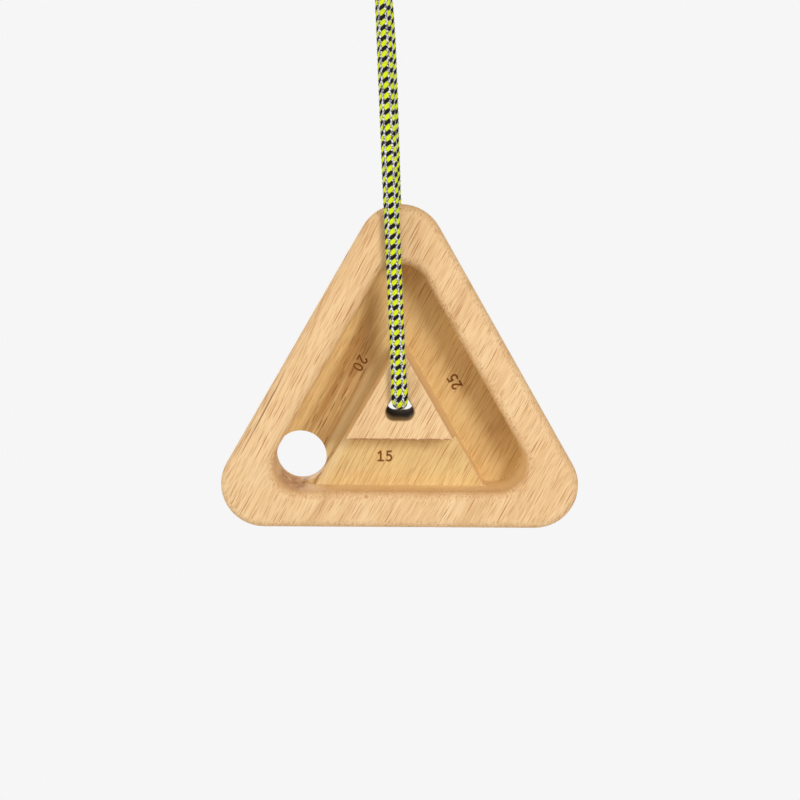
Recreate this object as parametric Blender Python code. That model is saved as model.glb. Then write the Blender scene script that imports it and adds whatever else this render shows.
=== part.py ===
"""Triangle finger-grip board that hangs on a loop of cord through its middle.

Units are metres, +Z is up, +X is to the right seen from the front, and +Y goes into the board.
The origin is the point where a hook carries the eye at the top of the cord.
"""

import math

import bpy
from mathutils import Vector

MM = 0.001

# Board: outline and thickness
BOARD_SIDE = 107.0 * MM
BOARD_CORNER_R = 17.0 * MM
BOARD_THICKNESS = 30.0 * MM
OUTER_EDGE_R = 4.0 * MM

# Recess: what is milled out between the rim and the boss
RIM_WIDTH = 14.4 * MM
RECESS_CORNER_R = 11.1 * MM
RECESS_EDGE_R = 4.0 * MM
RIGHT_DEPTH = 25.0 * MM
LEFT_DEPTH = 20.0 * MM
BOTTOM_DEPTH = 15.0 * MM

# Boss: the triangle left standing in the middle, level with the rim
BOSS_INRADIUS = 12.2 * MM
BOSS_DRAFT = math.radians(2.2)

# Round finger hole at the low end of the left trench
FINGER_HOLE_R = 10.5 * MM
FINGER_HOLE_X = -40.2 * MM
FINGER_HOLE_Z = -22.6 * MM

# Cord and its hole through the boss
CORD_R = 3.0 * MM
CLEARANCE = 0.3 * MM
CORD_HOLE_INRADIUS = 4.6 * MM
CORD_HOLE_EDGE_R = 1.0 * MM
CORD_LEAN = math.radians(2.75)

# Knot and hanging eye, just above the photograph's view
KNOT_RISE = 176.0 * MM
KNOT_TURNS = 3.5
KNOT_GAP = 0.5 * MM
LOOP_POINTS = 24

# Facets
CORNER_STEPS = 16
EDGE_STEPS = 5
HOLE_STEPS = 48
BURIED = 1.0 * MM

# Sizes that follow from those above
ROOT_3 = math.sqrt(3.0)
BOARD_INRADIUS = BOARD_SIDE / (2.0 * ROOT_3) + BOARD_CORNER_R
RECESS_INRADIUS = BOARD_INRADIUS - RIM_WIDTH
FRONT_Y = -BOARD_THICKNESS / 2.0
HOLE_CORNER_R = CORD_R + CLEARANCE
SEAT_ABOVE_CENTRE = 2.0 * (CORD_HOLE_INRADIUS - HOLE_CORNER_R)
FACE_GAP = CORD_R + CLEARANCE
STRAND_Y = BOARD_THICKNESS / 2.0 + FACE_GAP
BEND_R = CORD_HOLE_EDGE_R + FACE_GAP
CORD_PITCH = 2.0 * CORD_R + KNOT_GAP
CORE_HALF = CORD_PITCH / 2.0
WRAP_R = CORD_PITCH
KNOT_HEIGHT = (KNOT_TURNS + 1.0) * CORD_PITCH
APEX_RISE = 2.0 * (BOARD_INRADIUS - BOARD_CORNER_R) + BOARD_CORNER_R - SEAT_ABOVE_CENTRE

# Hanging eye: half width, then rise above the knot, along the left leg to the crown
EYE_ROUTE = [
    (CORE_HALF, 0.0),
    (3.4 * MM, 4.0 * MM),
    (5.2 * MM, 9.0 * MM),
    (8.4 * MM, 15.5 * MM),
    (11.0 * MM, 22.5 * MM),
    (11.4 * MM, 29.0 * MM),
    (8.6 * MM, 35.2 * MM),
    (4.6 * MM, 38.4 * MM),
    (0.0, 39.5 * MM),
]
EYE_RISE = EYE_ROUTE[-1][1]

# Cord frame: side runs to the right and up runs along the leaning cord
SIDE = Vector((math.cos(CORD_LEAN), 0.0, math.sin(CORD_LEAN)))
UP = Vector((-math.sin(CORD_LEAN), 0.0, math.cos(CORD_LEAN)))
DEEP = Vector((0.0, 1.0, 0.0))
HANG_RISE = KNOT_RISE + KNOT_HEIGHT + EYE_RISE - CORD_R
SEAT = -(SIDE * CORE_HALF + UP * HANG_RISE)
BOARD_CENTRE = SEAT - Vector((0.0, 0.0, SEAT_ABOVE_CENTRE))

# Strand routes: side, depth and rise from the seat in the hole, bottom to top
FRONT_ROUTE = [
    (0.0, -STRAND_Y, 12.0 * MM),
    (0.0, -STRAND_Y, 28.0 * MM),
    (0.0, -STRAND_Y, 46.0 * MM),
    (0.0, -STRAND_Y, 62.0 * MM),
    (0.0, -STRAND_Y, APEX_RISE - 3.0 * MM),
    (0.0, -STRAND_Y + 0.8 * MM, APEX_RISE + 8.0 * MM),
    (0.0, -13.6 * MM, 103.0 * MM),
    (0.0, -9.4 * MM, 122.0 * MM),
    (0.0, -5.0 * MM, 141.0 * MM),
    (0.0, -1.5 * MM, 157.0 * MM),
    (0.0, 0.0, 168.0 * MM),
    (0.0, 0.0, KNOT_RISE - CLEARANCE),
]
BACK_ROUTE = [
    (0.0, STRAND_Y, 12.0 * MM),
    (0.1 * MM, STRAND_Y, 28.0 * MM),
    (0.3 * MM, STRAND_Y, 46.0 * MM),
    (0.5 * MM, STRAND_Y, 62.0 * MM),
    (0.7 * MM, STRAND_Y, APEX_RISE - 3.0 * MM),
    (0.8 * MM, STRAND_Y - 0.5 * MM, APEX_RISE + 8.0 * MM),
    (1.0 * MM, 15.3 * MM, 103.0 * MM),
    (1.2 * MM, 12.6 * MM, 122.0 * MM),
    (1.2 * MM, 9.8 * MM, 141.0 * MM),
    (0.6 * MM, 7.7 * MM, 156.0 * MM),
    (-0.4 * MM, 7.0 * MM, 164.0 * MM),
    (-0.8 * MM, 7.0 * MM, KNOT_RISE - 5.0 * MM),
]


def clear_scene():
    """Remove every object that the new scene starts with."""
    for obj in list(bpy.data.objects):
        bpy.data.objects.remove(obj, do_unlink=True)


def make_material(name, colour, roughness):
    """Return a plain Principled material."""
    material = bpy.data.materials.new(name)
    material.use_nodes = True
    shader = material.node_tree.nodes["Principled BSDF"]
    shader.inputs["Base Color"].default_value = (*colour, 1.0)
    shader.inputs["Roughness"].default_value = roughness
    shader.inputs["Metallic"].default_value = 0.0
    material.diffuse_color = (*colour, 1.0)
    return material


def rounded_triangle(inradius, corner_r, steps=CORNER_STEPS):
    """Return the (x, z) points of a rounded triangle, point up, round its centre."""
    reach = inradius - corner_r
    centres = [(0.0, 2.0 * reach), (-ROOT_3 * reach, -reach), (ROOT_3 * reach, -reach)]
    points = []
    for start, (cx, cz) in zip((30.0, 150.0, 270.0), centres):
        for step in range(steps + 1):
            angle = math.radians(start + 120.0 * step / steps)
            points.append((cx + corner_r * math.cos(angle), cz + corner_r * math.sin(angle)))
    return points


def circle(radius, cx, cz, steps=HOLE_STEPS):
    """Return the (x, z) points of a circle."""
    angles = [2.0 * math.pi * step / steps for step in range(steps)]
    return [(cx + radius * math.cos(a), cz + radius * math.sin(a)) for a in angles]


def loft(name, rings):
    """Join rings of (x, z) points, each at its own depth behind the front face, into a closed mesh.

    The rings run anticlockwise seen from the front, and the first is the one nearest the front.
    Places are measured from the board's centre.
    """
    count = len(rings[0][1])
    verts = [(x, FRONT_Y + depth, z) for depth, outline in rings for x, z in outline]
    faces = [list(range(count))]
    for ring in range(len(rings) - 1):
        for step in range(count):
            after = (step + 1) % count
            low, high = ring * count, (ring + 1) * count
            faces.append([low + step, high + step, high + after, low + after])
    faces.append([(len(rings) - 1) * count + step for step in reversed(range(count))])
    return make_object(name, verts, faces)


def make_object(name, verts, faces):
    """Make a mesh object whose origin is the cord's seat, from places round the board's centre."""
    from_seat = BOARD_CENTRE - SEAT
    mesh = bpy.data.meshes.new(name)
    mesh.from_pydata([Vector(vert) + from_seat for vert in verts], [], faces)
    mesh.update()
    obj = bpy.data.objects.new(name, mesh)
    obj.location = SEAT
    bpy.context.scene.collection.objects.link(obj)
    return obj


def edge_round(radius, sign):
    """Return (depth, offset) pairs of a quarter round that starts on a face and ends on a wall.

    The sign is -1 for the outside of a solid, whose face is smaller, and +1 for a hole's mouth.
    """
    pairs = []
    for step in range(EDGE_STEPS + 1):
        angle = math.radians(90.0 * step / EDGE_STEPS)
        pairs.append((radius * (1.0 - math.cos(angle)), sign * radius * (1.0 - math.sin(angle))))
    return pairs


def board_blank():
    """Return the rounded triangular block with both of its outer edges rounded."""
    front = edge_round(OUTER_EDGE_R, -1.0)
    back = [(BOARD_THICKNESS - depth, offset) for depth, offset in reversed(front)]
    rings = []
    for depth, offset in front + back:
        rings.append((depth, rounded_triangle(BOARD_INRADIUS + offset, BOARD_CORNER_R + offset)))
    return loft("board", rings)


def recess_cutter():
    """Return the cutter of the whole recess, as deep as its deepest trench."""
    mouth = edge_round(RECESS_EDGE_R, 1.0)
    profile = [(-BURIED, mouth[0][1])] + mouth + [(RIGHT_DEPTH, 0.0)]
    rings = []
    for depth, offset in profile:
        outline = rounded_triangle(RECESS_INRADIUS + offset, RECESS_CORNER_R + offset)
        rings.append((depth, outline))
    return loft("recess_cutter", rings)


def boss_half_width(inradius, z):
    """Return half the width, at height z, of a sharp triangle with this inradius."""
    return (2.0 * inradius - z) / ROOT_3


def boss_and_step():
    """Return the boss with the bottom trench's floor, which lies between the boss's side planes."""
    foot_depth = RIGHT_DEPTH + BURIED
    far_z = -(RECESS_INRADIUS + RIM_WIDTH / 3.0)
    inradius = {d: BOSS_INRADIUS + d * math.tan(BOSS_DRAFT) for d in (0.0, BOTTOM_DEPTH, foot_depth)}
    verts = []

    def corner(depth, z, side):
        verts.append((side * boss_half_width(inradius[depth], z), FRONT_Y + depth, z))

    corner(0.0, 2.0 * inradius[0.0], 0.0)
    for depth, z in ((0.0, -inradius[0.0]), (BOTTOM_DEPTH, -inradius[BOTTOM_DEPTH]),
                     (BOTTOM_DEPTH, far_z), (foot_depth, far_z)):
        corner(depth, z, -1.0)
        corner(depth, z, 1.0)
    corner(foot_depth, 2.0 * inradius[foot_depth], 0.0)
    faces = [
        (0, 1, 2),
        (1, 3, 4, 2),
        (3, 5, 6, 4),
        (5, 7, 8, 6),
        (7, 9, 8),
        (0, 9, 7, 5, 3, 1),
        (0, 2, 4, 6, 8, 9),
    ]
    return make_object("boss_and_step", verts, faces)


def left_floor():
    """Return the block whose top is the left trench's floor, from the boss out into the rim."""
    rim = RECESS_INRADIUS + RIM_WIDTH / 3.0
    inside = BOSS_INRADIUS - 3.0 * MM
    outline = [
        (0.0, 2.0 * rim),
        (-boss_half_width(rim, -rim), -rim),
        (-boss_half_width(inside, -rim), -rim),
        (0.0, 2.0 * inside),
    ]
    return loft("left_floor", [(LEFT_DEPTH, outline), (RIGHT_DEPTH + 2.0 * BURIED, outline)])


def cord_hole_cutter():
    """Return the cutter of the three-cornered cord hole, with a small round at each mouth."""
    mouth = edge_round(CORD_HOLE_EDGE_R, 1.0)
    front = [(-BURIED, mouth[0][1])] + mouth
    back = [(BOARD_THICKNESS - depth, offset) for depth, offset in reversed(front)]
    rings = []
    for depth, offset in front + back:
        outline = rounded_triangle(CORD_HOLE_INRADIUS + offset, HOLE_CORNER_R + offset, 8)
        rings.append((depth, outline))
    return loft("cord_hole_cutter", rings)


def finger_hole_cutter():
    """Return the cutter of the round hole, which is bored from the back up to the left floor."""
    outline = circle(FINGER_HOLE_R, FINGER_HOLE_X, FINGER_HOLE_Z)
    top = LEFT_DEPTH - CLEARANCE
    return loft("finger_hole_cutter", [(top, outline), (BOARD_THICKNESS + BURIED, outline)])


def add_boolean(obj, tool, operation):
    """Cut or join obj with a tool, which stays in the scene as a hidden guide."""
    tool.hide_render = True
    tool.display_type = "WIRE"
    modifier = obj.modifiers.new(tool.name, "BOOLEAN")
    modifier.operation = operation
    modifier.solver = "EXACT"
    modifier.object = tool


def make_board(material):
    """Make the wooden board."""
    board = board_blank()
    board.data.materials.append(material)
    add_boolean(board, recess_cutter(), "DIFFERENCE")
    add_boolean(board, boss_and_step(), "UNION")
    add_boolean(board, left_floor(), "UNION")
    add_boolean(board, cord_hole_cutter(), "DIFFERENCE")
    add_boolean(board, finger_hole_cutter(), "DIFFERENCE")
    return board


def cord_point(side, depth, rise):
    """Return the world place of a point given in the cord's frame from its seat."""
    return SEAT + SIDE * side + DEEP * depth + UP * rise


def smooth_curve(route, spacing):
    """Return points about a spacing apart on a smooth curve through the route's points.

    Each stretch is a cubic that meets the next one with the same slope. The slope at a point
    is that of the stretches beside it, and the nearer one counts for more.
    """
    nodes = [Vector(point) for point in route]
    spans = [(end - start).length for start, end in zip(nodes, nodes[1:])]
    grades = [(end - start) / span for start, end, span in zip(nodes, nodes[1:], spans)]
    slopes = [grades[0]]
    for before, after, last, following in zip(spans, spans[1:], grades, grades[1:]):
        slopes.append((last * after + following * before) / (before + after))
    slopes.append(grades[-1])
    points = [nodes[0]]
    for index, span in enumerate(spans):
        steps = max(1, round(span / spacing))
        for step in range(1, steps + 1):
            share = step / steps
            points.append(
                nodes[index] * (2.0 * share ** 3 - 3.0 * share ** 2 + 1.0)
                + slopes[index] * span * (share ** 3 - 2.0 * share ** 2 + share)
                + nodes[index + 1] * (3.0 * share ** 2 - 2.0 * share ** 3)
                + slopes[index + 1] * span * (share ** 3 - share ** 2)
            )
    return points


def hole_bend(sign):
    """Return the quarter turn out of the hole and up the board's face, in the cord's frame."""
    points = []
    for step in range(9):
        angle = math.radians(90.0 * step / 8)
        depth = sign * (BOARD_THICKNESS / 2.0 - CORD_HOLE_EDGE_R + BEND_R * math.sin(angle))
        points.append((0.0, depth, BEND_R * (1.0 - math.cos(angle))))
    return points


def strand_path():
    """Return the free cord's path: down the front, through the hole and up the back."""
    spacing = 5.0 * CORD_R
    front_bend, back_bend = hole_bend(-1.0), hole_bend(1.0)
    front = smooth_curve([front_bend[-1]] + FRONT_ROUTE, spacing)
    back = smooth_curve([back_bend[-1]] + BACK_ROUTE, spacing)
    inside = [Vector(front_bend[0]).lerp(Vector(back_bend[0]), share / 3.0) for share in (1, 2)]
    path = list(reversed(front)) + [Vector(point) for point in reversed(front_bend[:-1])]
    return path + inside + [Vector(point) for point in back_bend[:-1]] + back


def wrap_point(turn):
    """Return the wrap's point after this many turns round the two core strands.

    A turn runs round the outline of two circles side by side, from the middle of the back,
    to the right, and rises one cord's pitch.
    """
    straight = 2.0 * CORE_HALF
    arc = math.pi * WRAP_R
    travel = (turn % 1.0) * 2.0 * (straight + arc)
    half, travel = divmod(travel + straight / 2.0, straight + arc)
    if travel < straight:
        side, depth = travel - straight / 2.0, WRAP_R
    else:
        angle = (travel - straight) / WRAP_R
        side, depth = straight / 2.0 + WRAP_R * math.sin(angle), WRAP_R * math.cos(angle)
    flip = -1.0 if half % 2.0 else 1.0
    rise = KNOT_RISE + CORD_PITCH * (0.75 + turn)
    return Vector((CORE_HALF + flip * side, flip * depth, rise))


def wrap_path():
    """Return the path of the back strand's end: into the knot, round it and out as a tail."""
    entry = [
        (-0.8 * MM, 7.0 * MM, KNOT_RISE - 5.0 * MM + CLEARANCE),
        (-0.7 * MM, 7.0 * MM, KNOT_RISE - 1.0 * MM),
        (0.6 * MM, WRAP_R + 0.2 * MM, KNOT_RISE + 3.0 * MM),
    ]
    steps = round(KNOT_TURNS * LOOP_POINTS)
    turns = [wrap_point(KNOT_TURNS * step / steps) for step in range(1, steps)]
    top = KNOT_RISE + CORD_PITCH * (0.75 + KNOT_TURNS)
    leave = [
        (2.0 * MM, -WRAP_R - 0.2 * MM, top + 0.8 * MM),
        (-0.9 * MM, -WRAP_R - 0.6 * MM, top + 3.6 * MM),
        (-2.0 * MM, -WRAP_R - 0.8 * MM, top + 8.0 * MM),
        (-2.4 * MM, -WRAP_R - 1.2 * MM, top + 16.0 * MM),
    ]
    start = smooth_curve(entry + [turns[0]], CORD_R)
    end = smooth_curve([turns[-1]] + leave, CORD_R)
    return start[:-1] + turns + end[1:]


def eye_path():
    """Return the path of the front strand's end: up through the knot, round the eye and back."""
    top = KNOT_RISE + KNOT_HEIGHT
    left = [(CORE_HALF - half, 0.0, top + rise) for half, rise in EYE_ROUTE]
    right = [(CORE_HALF + half, 0.0, top + rise) for half, rise in reversed(EYE_ROUTE[:-1])]
    below = [(0.0, 0.0, KNOT_RISE), (0.0, 0.0, KNOT_RISE + KNOT_HEIGHT / 2.0)]
    tail = [
        (CORD_PITCH, 0.0, KNOT_RISE + KNOT_HEIGHT / 2.0),
        (CORD_PITCH, 0.0, KNOT_RISE + 4.0 * MM),
        (CORD_PITCH + 0.6 * MM, -0.4 * MM, KNOT_RISE - 4.0 * MM),
        (CORD_PITCH + 2.4 * MM, -1.2 * MM, KNOT_RISE - 12.0 * MM),
    ]
    return smooth_curve(below + left + right + tail, 1.5 * CORD_R)


def make_tube(name, path, material, sides):
    """Make a closed tube of the cord's thickness along a path in the cord's frame."""
    curve = bpy.data.curves.new(name, "CURVE")
    curve.dimensions = "3D"
    curve.twist_mode = "MINIMUM"
    curve.bevel_depth = CORD_R
    curve.bevel_resolution = sides
    curve.use_fill_caps = True
    spline = curve.splines.new("POLY")
    spline.points.add(len(path) - 1)
    for point, place in zip(spline.points, path):
        point.co = (*cord_point(*place), 1.0)
    curve.materials.append(material)
    obj = bpy.data.objects.new(name, curve)
    bpy.context.scene.collection.objects.link(obj)
    return obj


def least_gap(path):
    """Return the least gap between a tube's surface and itself, past its own bends."""
    step = sum((b - a).length for a, b in zip(path, path[1:])) / (len(path) - 1)
    skip = math.ceil(3.0 * CORD_PITCH / step)
    least = min((a - b).length for i, a in enumerate(path) for b in path[i + skip:])
    return least - 2.0 * CORD_R


def least_gap_between(path, other):
    """Return the least gap between two tubes, ends that meet left out."""
    trimmed = other[4:-4]
    return min((a - b).length for a in path[4:-4] for b in trimmed) - 2.0 * CORD_R


def make_cord(sheath):
    """Make the cord: its free loop through the board, the knot's wraps and the hanging eye."""
    strands, wraps, eye = strand_path(), wrap_path(), eye_path()
    make_tube("cord_loop", strands, sheath, 3)
    make_tube("knot_wraps", wraps, sheath, 1)
    make_tube("hanging_eye", eye, sheath, 2)
    print(f"least gap in the knot's wraps {least_gap(wraps) / MM:.2f} mm")
    print(f"least gap between wraps and eye {least_gap_between(wraps, eye) / MM:.2f} mm")


def main():
    """Build the board and its cord."""
    clear_scene()
    wood = make_material("rubberwood", (0.78, 0.53, 0.29), 0.62)
    sheath = make_material("cord_sheath", (0.55, 0.62, 0.12), 0.85)
    make_board(wood)
    make_cord(sheath)


main()
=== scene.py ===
"""Looks of a triangle finger-grip board that hangs on a loop of braided cord.

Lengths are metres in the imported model's own frame. The origin is where a hook carries the eye at
the top of the cord, +X is to the right seen from the front, +Y goes into the board and +Z is up.
The board is dressed as sanded rubberwood, and the cord as a plait of bright and silver yarns.
"""

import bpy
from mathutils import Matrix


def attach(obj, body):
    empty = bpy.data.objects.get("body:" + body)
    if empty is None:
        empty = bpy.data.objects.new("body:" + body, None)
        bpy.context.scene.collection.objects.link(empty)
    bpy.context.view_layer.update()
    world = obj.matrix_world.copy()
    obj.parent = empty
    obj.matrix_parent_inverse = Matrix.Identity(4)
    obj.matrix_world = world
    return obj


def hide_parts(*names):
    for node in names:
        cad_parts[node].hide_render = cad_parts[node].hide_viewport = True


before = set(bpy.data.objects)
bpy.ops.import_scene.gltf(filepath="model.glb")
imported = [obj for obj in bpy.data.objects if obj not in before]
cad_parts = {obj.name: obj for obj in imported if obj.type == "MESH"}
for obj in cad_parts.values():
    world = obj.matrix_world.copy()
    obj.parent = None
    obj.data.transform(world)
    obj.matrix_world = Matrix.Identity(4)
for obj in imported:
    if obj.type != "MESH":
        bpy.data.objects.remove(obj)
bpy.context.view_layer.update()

import logging
import math
from dataclasses import dataclass, field, fields
from enum import Enum

import bmesh
import bpy
import numpy as np
from mathutils import Matrix, Vector
from numpy.typing import NDArray

Array = NDArray[np.float64]
Span = tuple[float, float]
Place = tuple[float, float, float]
Colour = tuple[float, float, float]
Socket = bpy.types.NodeSocket

MM = 0.001
ROOT_3 = math.sqrt(3.0)
FULL_TURN = 2.0 * math.pi
NEARLY_NONE = 1e-12

log = logging.getLogger("grip_board")


def screen_colour(red: int, green: int, blue: int) -> Colour:
    """Turn a colour as a screen shows it into the linear light that a shader mixes.

    Each channel is a power curve, c = ((v / 255 + 0.055) / 1.055) ** 2.4.

    Args:
        red: red from 0 to 255.
        green: green from 0 to 255.
        blue: blue from 0 to 255.

    Returns:
        The three linear channels.
    """
    lit = ((np.array([red, green, blue]) / 255.0 + 0.055) / 1.055) ** 2.4
    return (float(lit[0]), float(lit[1]), float(lit[2]))


class Step(Enum):
    """The steps of arithmetic that the finishes use."""

    ADD = "ADD"
    TAKE = "SUBTRACT"
    TIMES = "MULTIPLY"
    SHARE = "DIVIDE"
    REST = "FLOORED_MODULO"
    SIZE = "ABSOLUTE"
    ROOT = "SQRT"
    SINE = "SINE"
    NEAREST = "ROUND"
    BELOW = "LESS_THAN"
    MOST = "MAXIMUM"


class Slope(Enum):
    """How a value climbs from 0 to 1."""

    SOFT = "SMOOTHSTEP"
    EVEN = "LINEAR"


class Face(Enum):
    """The two faces of the board, with the sign of the depth on which each lies."""

    FRONT = -1.0
    BACK = 1.0


class Tip(Enum):
    """How a piece of cord ends."""

    JOINED = "the cord runs on in the next piece"
    MELTED = "cut with heat, so that the yarns are fused"


@dataclass(frozen=True)
class Signal:
    """A number that nodes work out at each place, which takes the signs of plain arithmetic."""

    bench: "Bench"
    socket: Socket

    def __add__(self, other: "Value") -> "Signal":
        """Return this plus the other."""
        return self.bench.step(Step.ADD, self, other)

    def __sub__(self, other: "Value") -> "Signal":
        """Return this less the other."""
        return self.bench.step(Step.TAKE, self, other)

    def __rsub__(self, other: float) -> "Signal":
        """Return a plain number less this."""
        return self.bench.step(Step.TAKE, other, self)

    def __mul__(self, other: "Value") -> "Signal":
        """Return this times the other."""
        return self.bench.step(Step.TIMES, self, other)

    def __truediv__(self, other: "Value") -> "Signal":
        """Return this divided by the other."""
        return self.bench.step(Step.SHARE, self, other)

    def __mod__(self, other: float) -> "Signal":
        """Return what is left of this after whole multiples of the other."""
        return self.bench.step(Step.REST, self, other)

    def __abs__(self) -> "Signal":
        """Return this without its sign."""
        return self.bench.step(Step.SIZE, self)


Value = float | Signal
Paint = Socket | Colour


class OnArrays:
    """The steps of a rule that have no sign, on whole arrays, as Bench has them on nodes."""

    @staticmethod
    def sine(value: Array) -> Array:
        """Return the sine of a value."""
        return np.sin(value)

    @staticmethod
    def nearest(value: Array) -> Array:
        """Return the whole number nearest to a value."""
        return np.round(value)

    @staticmethod
    def below(value: Array, limit: float) -> Array:
        """Return whether a value is below a limit."""
        return value < limit

    @staticmethod
    def between(share: Array, first: Array, second: Array) -> Array:
        """Return the first where the share is 0 and the second where it is 1."""
        return np.where(share, second, first)


class Bench:
    """A workbench on which a finish, or the light of the backdrop, is laid out node by node."""

    def __init__(self, owner: bpy.types.Material | bpy.types.World) -> None:
        """Start on a new material or world.

        Args:
            owner: the material or world.
        """
        owner.use_nodes = True
        self.owner = owner
        self.tree = owner.node_tree

    def feed(self, socket: Socket, value: Value | Paint | tuple[float, ...]) -> None:
        """Link an output to a socket, or set the socket to a plain value.

        Args:
            socket: the input to feed.
            value: an output, a number or the numbers of a colour or vector.
        """
        if isinstance(value, Signal):
            value = value.socket
        if isinstance(value, bpy.types.NodeSocket):
            self.tree.links.new(value, socket)
        elif isinstance(value, (int, float)):
            socket.default_value = value
        else:
            socket.default_value = (*value, 1.0)[: len(socket.default_value)]

    def node(self, kind: str, inputs: dict[int | str, Value | Paint], **settings: str) -> bpy.types.Node:
        """Add one node and feed it.

        Args:
            kind: the node's kind, such as ShaderNodeMath.
            inputs: what to feed, by the number or name of each input.
            settings: the node's own choices, such as its operation.

        Returns:
            The node.
        """
        made = self.tree.nodes.new(kind)
        for name, setting in settings.items():
            setattr(made, name, setting)
        for key, value in inputs.items():
            self.feed(made.inputs[key], value)
        return made

    def step(self, kind: Step, *values: Value) -> Signal:
        """Work out one step of arithmetic on one or two numbers."""
        made = self.node("ShaderNodeMath", dict(enumerate(values)), operation=kind.value)
        return Signal(self, made.outputs[0])

    def sine(self, value: Signal) -> Signal:
        """Return the sine of a value."""
        return self.step(Step.SINE, value)

    def nearest(self, value: Signal) -> Signal:
        """Return the whole number nearest to a value."""
        return self.step(Step.NEAREST, value)

    def below(self, value: Signal, limit: float) -> Signal:
        """Return 1 where a value is below a limit, and 0 elsewhere."""
        return self.step(Step.BELOW, value, limit)

    def most(self, *values: Signal) -> Signal:
        """Return the largest of some values.

        Args:
            values: the values.

        Returns:
            The largest at each place.
        """
        top = values[0]
        for value in values[1:]:
            top = self.step(Step.MOST, top, value)
        return top

    def distance(self, x: Signal, y: Signal) -> Signal:
        """Return the square root of x squared plus y squared."""
        return self.step(Step.ROOT, x * x + y * y)

    def ramp(self, value: Signal, low: float, high: float, slope: Slope = Slope.SOFT) -> Signal:
        """Let a value climb from 0, where it is at most low, to 1, where it is at least high."""
        inputs = {"Value": value, "From Min": low, "From Max": high}
        return Signal(self, self.node("ShaderNodeMapRange", inputs, interpolation_type=slope.value).outputs["Result"])

    def fall(self, value: Signal, low: float, high: float) -> Signal:
        """Let a value drop from 1, where it is at most low, to 0, where it is at least high."""
        return 1.0 - self.ramp(value, low, high)

    def between(self, share: Value, first: Value, second: Value) -> Signal:
        """Mix two numbers: the first at share 0, the second at share 1."""
        made = self.node("ShaderNodeMix", {0: share, 2: first, 3: second}, data_type="FLOAT")
        return Signal(self, made.outputs[0])

    def blend(self, share: Value, first: Paint, second: Paint) -> Socket:
        """Mix two colours: the first at share 0, the second at share 1."""
        return self.node("ShaderNodeMix", {0: share, 6: first, 7: second}, data_type="RGBA").outputs[2]

    def darken(self, share: Value, colour: Paint, tint: Paint) -> Socket:
        """Multiply a colour by a tint, as far as the share says."""
        inputs = {0: share, 6: colour, 7: tint}
        return self.node("ShaderNodeMix", inputs, data_type="RGBA", blend_type="MULTIPLY").outputs[2]

    def coordinates(self, name: str) -> Socket:
        """Return the Object, Normal or Generated output of the texture coordinates."""
        return self.node("ShaderNodeTexCoord", {}).outputs[name]

    def parts(self, vector: Socket) -> tuple[Signal, Signal, Signal]:
        """Return the x, y and z of a vector."""
        x, y, z = self.node("ShaderNodeSeparateXYZ", {0: vector}).outputs
        return Signal(self, x), Signal(self, y), Signal(self, z)

    def vector(self, x: Value, y: Value, z: Value) -> Socket:
        """Return a vector made of three numbers."""
        return self.node("ShaderNodeCombineXYZ", {0: x, 1: y, 2: z}).outputs[0]

    def stretched(self, vector: Socket, factors: Place) -> Socket:
        """Multiply the x, y and z of a vector by a factor each."""
        return self.node("ShaderNodeVectorMath", {0: vector, 1: factors}, operation="MULTIPLY").outputs[0]

    def noise(self, vector: Socket, stretch: Place, detail: float, roughness: float = 0.5) -> Signal:
        """Add a cloud of noise and return its value, which is about 0.5 on the whole.

        Args:
            vector: where the noise is read.
            stretch: clouds in one unit of the vector's x, y and z.
            detail: how many finer layers are added.
            roughness: how strong the finer layers are.

        Returns:
            The noise.
        """
        inputs = {"Vector": self.stretched(vector, stretch), "Scale": 1.0, "Detail": detail, "Roughness": roughness}
        return Signal(self, self.node("ShaderNodeTexNoise", inputs).outputs["Fac"])

    def cells(self, vector: Socket, stretch: Place) -> tuple[Signal, Socket]:
        """Scatter points, about one in each cell.

        Args:
            vector: where the pattern is read.
            stretch: cells in one unit of the vector's x, y and z.

        Returns:
            How far the nearest point is, in cells, and a colour of its own for each point.
        """
        made = self.node("ShaderNodeTexVoronoi", {"Vector": self.stretched(vector, stretch), "Scale": 1.0})
        return Signal(self, made.outputs["Distance"]), made.outputs["Color"]

    def shaders(self, share: Value, first: Socket, second: Socket) -> Socket:
        """Mix two shaders: the first at share 0, the second at share 1."""
        return self.node("ShaderNodeMixShader", {0: share, 1: first, 2: second}).outputs[0]

    def finish(self, colour: Paint, rough: Value, relief: Signal, depth: float, gloss: float) -> bpy.types.Material:
        """Feed the shader and return the material.

        Args:
            colour: the base colour.
            rough: from 0, polished, to 1, dull.
            relief: the relief, from 0 to 1.
            depth: how high 1 stands, in metres.
            gloss: how strongly the surface reflects, where 0.5 is plain varnish.

        Returns:
            The material.
        """
        shader = self.tree.nodes["Principled BSDF"]
        bump = self.node("ShaderNodeBump", {"Strength": 1.0, "Distance": depth, "Height": relief})
        self.feed(shader.inputs["Base Color"], colour)
        self.feed(shader.inputs["Roughness"], rough)
        self.feed(shader.inputs["Normal"], bump.outputs["Normal"])
        shader.inputs["Specular IOR Level"].default_value = gloss
        return self.owner


@dataclass(frozen=True)
class BoardSizes:
    """Sizes of the CAD board that its wood, its numbers and its cord have in common."""

    hole_axis: Span = (8.352455 * MM, -244.227526 * MM)
    half_thickness: float = 15.0 * MM


@dataclass(frozen=True)
class Spot:
    """A place of the board: its x, its depth below the front, and where it is from the hole's axis."""

    x: Signal
    inset: Signal
    side: Signal
    rise: Signal


@dataclass(frozen=True)
class Stain:
    """A colour laid over the wood, and how far it covers where its mask is 1."""

    colour: Colour
    strength: float

    def over(self, bench: Bench, mask: Signal, colour: Paint) -> Socket:
        """Lay the stain over a colour."""
        return bench.blend(mask * self.strength, colour, self.colour)


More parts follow.
